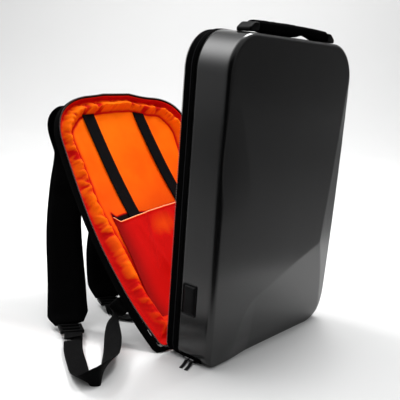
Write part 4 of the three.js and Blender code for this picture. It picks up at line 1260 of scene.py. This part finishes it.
def make_handle():
    """Grip: a rounded pad between its ends, nearly level on top, with a lower underside to the left."""
    count, sides = 120, 36
    part = np.linspace(-1, 1, count)
    top = HANDLE["top"] - 1.6 * part**2
    under = HANDLE["under"] + 4.6 * bump(0.1, 0.7, part) + 2.0 * smoothstep(-0.75, -1, part)
    turn = np.linspace(0, 2 * np.pi, sides, endpoint=False)
    a = np.sign(np.cos(turn)) * abs(np.cos(turn)) ** 0.6 * HANDLE["half_depth"]
    h = np.sign(np.sin(turn)) * abs(np.sin(turn)) ** 0.7
    x = np.broadcast_to(HANDLE["half_length"] * part[:, None], (count, sides))
    y = np.broadcast_to(HANDLE["y"] + a, (count, sides))
    uneven = 1 + 0.04 * noise(part[:, None] * 9, a[None, :] / 8, 61)
    z = ((top + under) / 2)[:, None] + ((top - under) / 2)[:, None] * h * uneven
    cloth = np.stack(np.broadcast_arrays(a[None, :], x), -1)
    rings = np.stack([x, y, z], -1)
    piece = put("handle_pad", [ring_solid(rings)], BLACK_CLOTH, ["handle_grip"], [cloth])
    for name in ("left", "right"):
        softened(f"handle_end_{name}", f"handle_foot_{name}", TRIM, 2.2, 4)


def make_zip_end():
    softened("zip_tail", "zip_tail_tape", ZIP_TAPE, 0.4)
    for k in (1, 2):
        softened(f"zip_slider_{k}", f"slider_body_{k}", METAL, 0.6)
        softened(f"zip_pull_{k}", f"slider_pull_{k}", METAL, 0.4)


make_shell()
make_port_cover()
make_shell_edge()
make_teeth("rim_zip_teeth", SHELL_RIM, on_shell, 1.9, 3.85, "zip_teeth_shell")
make_flap_edge()
make_flap_back()
make_lining()
make_pocket()
make_elastics()
make_hinge()
make_harness()
make_handle()
make_zip_end()


# Floor, light and camera


def make_stage():
    """A floor that curves up into a wall behind: a profile of depth and height carried across."""
    turn = np.linspace(0, np.pi / 2, 24)
    near, far, radius, wall_top, reach = -4.0, 2.6, 1.4, 4.0, 6.0
    depth = np.concatenate([[near, far], far + radius * np.sin(turn[1:]), [far + radius]])
    height = np.concatenate([[0, 0], radius * (1 - np.cos(turn[1:])), [wall_top]])
    points = np.concatenate([
        np.column_stack([depth[:, None] * VIEW_AHEAD + side * VIEW_RIGHT, height]) for side in (-reach, reach)
    ])
    n = len(depth)
    faces = [(i, i + 1, n + i + 1, n + i) for i in range(n - 1)]
    mesh = bpy.data.meshes.new("floor")
    mesh.from_pydata(points.tolist(), [], faces)
    shade_smooth(mesh)
    floor = bpy.data.objects.new("floor", mesh)
    bpy.context.scene.collection.objects.link(floor)
    material, tree, shader = new_finish("pale floor", 0.6, 0.2)
    place = add(tree, "ShaderNodeTexCoord").outputs["Object"]
    tone = mix(tree, cloud(tree, place, 1.5), rgba((0.73, 0.73, 0.727)), rgba((0.75, 0.75, 0.747)))
    tree.links.new(tone, shader.inputs["Base Color"])
    mesh.materials.append(material)


def make_flag():
    """A black flag just above the floor that only mirrors see, so the shell has something dark to show.
    It covers what is near the camera and to the left and right of the frame. Each edge is soft along a
    sum of the distances to the right and ahead."""
    reach, far_end = 5.0, 2.6
    sides = ((-reach, -reach), (-reach, reach), (far_end, reach), (far_end, -reach))
    corners = [ahead * VIEW_AHEAD + right * VIEW_RIGHT for ahead, right in sides]
    mesh = bpy.data.meshes.new("black_flag")
    mesh.from_pydata([(x, y, 0.0015) for x, y in corners], [], [(0, 1, 2, 3)])
    flag = bpy.data.objects.new("black_flag", mesh)
    bpy.context.scene.collection.objects.link(flag)
    material, tree, shader = new_finish("black flag", 1.0, 0.0)
    place = add(tree, "ShaderNodeTexCoord").outputs["Object"]

    def edge(right, ahead, start, end):
        way = (*(right * VIEW_RIGHT + ahead * VIEW_AHEAD), 0)
        return ramp(tree, toward(tree, place, way), start, end, "SMOOTHSTEP")

    right = edge(1, -0.286, 0.36, 0.42)
    left = math(tree, "MULTIPLY", edge(-1, -0.286, 0.28, 0.7), 0.62)
    near = edge(0, -1, 0.32, 0.5)
    beside = math(tree, "MAXIMUM", right, left)
    tree.links.new(math(tree, "MAXIMUM", beside, near), shader.inputs["Alpha"])
    ahead = math(tree, "MULTIPLY", edge(0, -1, -0.18, -0.02), 0.75)
    far = math(tree, "MULTIPLY", edge(1, 0, 1.0, 1.3), ahead)
    black = math(tree, "MAXIMUM", near, far)
    tone = mix(tree, black, rgba((0.28, 0.28, 0.28)), rgba((0.004, 0.004, 0.004)))
    tree.links.new(tone, shader.inputs["Base Color"])
    mesh.materials.append(material)
    for kind in ("camera", "diffuse", "shadow", "transmission"):
        setattr(flag, f"visible_{kind}", False)


def add_light(name, place, target, size, power):
    """A rectangular light at a place, turned to a target and hidden from the camera."""
    lamp = bpy.data.lights.new(name, "AREA")
    lamp.shape = "RECTANGLE"
    lamp.size, lamp.size_y = size
    lamp.energy = power
    holder = bpy.data.objects.new(name, lamp)
    holder.location = place
    holder.rotation_euler = (Vector(target) - Vector(place)).to_track_quat("-Z", "Y").to_euler()
    holder.visible_camera = False
    bpy.context.scene.collection.objects.link(holder)
    return holder


def make_world():
    """A pale world that is dark low down on two sides, though not for the camera, and glows high at the back.
    The second glow shows only in mirrors."""
    world = bpy.data.worlds.new("soft studio")
    bpy.context.scene.world = world
    world.use_nodes = True
    tree = world.node_tree
    background = tree.nodes["Background"]
    way = add(tree, "ShaderNodeTexCoord").outputs["Generated"]
    height = add(tree, "ShaderNodeSeparateXYZ", {0: way}).outputs[2]
    ray = add(tree, "ShaderNodeLightPath").outputs
    unseen = math(tree, "SUBTRACT", 1.0, ray["Is Camera Ray"])
    low = math(tree, "MULTIPLY", ramp(tree, height, 0.9, 0.45, "SMOOTHSTEP"), unseen)
    tone = rgba((0.98, 0.99, 1.0))
    for dark_way, start, level in DARK_SIDES:
        side = ramp(tree, toward(tree, way, dark_way), start, 0.92, "SMOOTHSTEP")
        tone = mix(tree, math(tree, "MULTIPLY", side, low), tone, rgba((level, level, level)))
    for glow_way, sharpness, level, mirrors_only in GLOWS:
        along = math(tree, "MAXIMUM", toward(tree, way, glow_way), 0.0)
        glow = math(tree, "MULTIPLY", math(tree, "POWER", along, sharpness), level)
        if mirrors_only:
            glow = math(tree, "MULTIPLY", glow, ray["Is Glossy Ray"])
        tone = add(tree, "ShaderNodeVectorMath", {0: tone, 1: glow}, operation="ADD").outputs[0]
    tree.links.new(tone, background.inputs["Color"])
    background.inputs["Strength"].default_value = WORLD_STRENGTH


def make_lights():
    """A key high above the right, a lower one behind the bag whose light casts its shadow forwards and isn't
    mirrored, a fill that only the lining's pieces receive, and a light for the backdrop."""
    add_light("back key", (0.72, 0.16, 1.9), (0, 0, 0.1), (0.6, 0.6), 26)
    shadow_key = add_light("shadow key", (0.03, 1.32, 0.96), (-0.1, 0.05, 0.0), (0.3, 0.3), 15)
    shadow_key.visible_glossy = False
    fill = add_light("lining fill", (-1.3, -1.1, 1.7), (-0.05, 0.15, 0.25), (1.0, 1.0), 18)
    receivers = bpy.data.collections.new("lining pieces")
    for name in ("lining_cloth", "pocket_front", "elastic_band_left", "elastic_band_right"):
        receivers.objects.link(bpy.data.objects[name])
    fill.light_linking.receiver_collection = receivers
    add_light("backdrop light", (1.5, 1.18, 2.2), (3.1, 2.45, 1.2), (2.5, 0.6), 48)
    bpy.context.scene.view_settings.view_transform = "Standard"


def make_camera():
    """The photograph's camera: looking ahead and down by its pitch, then rolled about its view."""
    level = np.append(VIEW_RIGHT, 0.0)
    ahead = np.append(np.cos(VIEW_PITCH) * VIEW_AHEAD, -np.sin(VIEW_PITCH))
    above = np.cross(level, ahead)
    right = level * np.cos(VIEW_ROLL) + above * np.sin(VIEW_ROLL)
    up = -level * np.sin(VIEW_ROLL) + above * np.cos(VIEW_ROLL)
    data = bpy.data.cameras.new("camera")
    data.sensor_width = SENSOR
    data.lens = SENSOR * FOCAL_LENGTH
    camera = bpy.data.objects.new("camera", data)
    turn = Matrix((right, up, -ahead)).transposed().to_4x4()
    camera.matrix_world = Matrix.Translation(CAMERA_PLACE) @ turn
    bpy.context.scene.collection.objects.link(camera)
    bpy.context.scene.camera = camera


make_stage()
make_flag()
make_world()
make_lights()
make_camera()
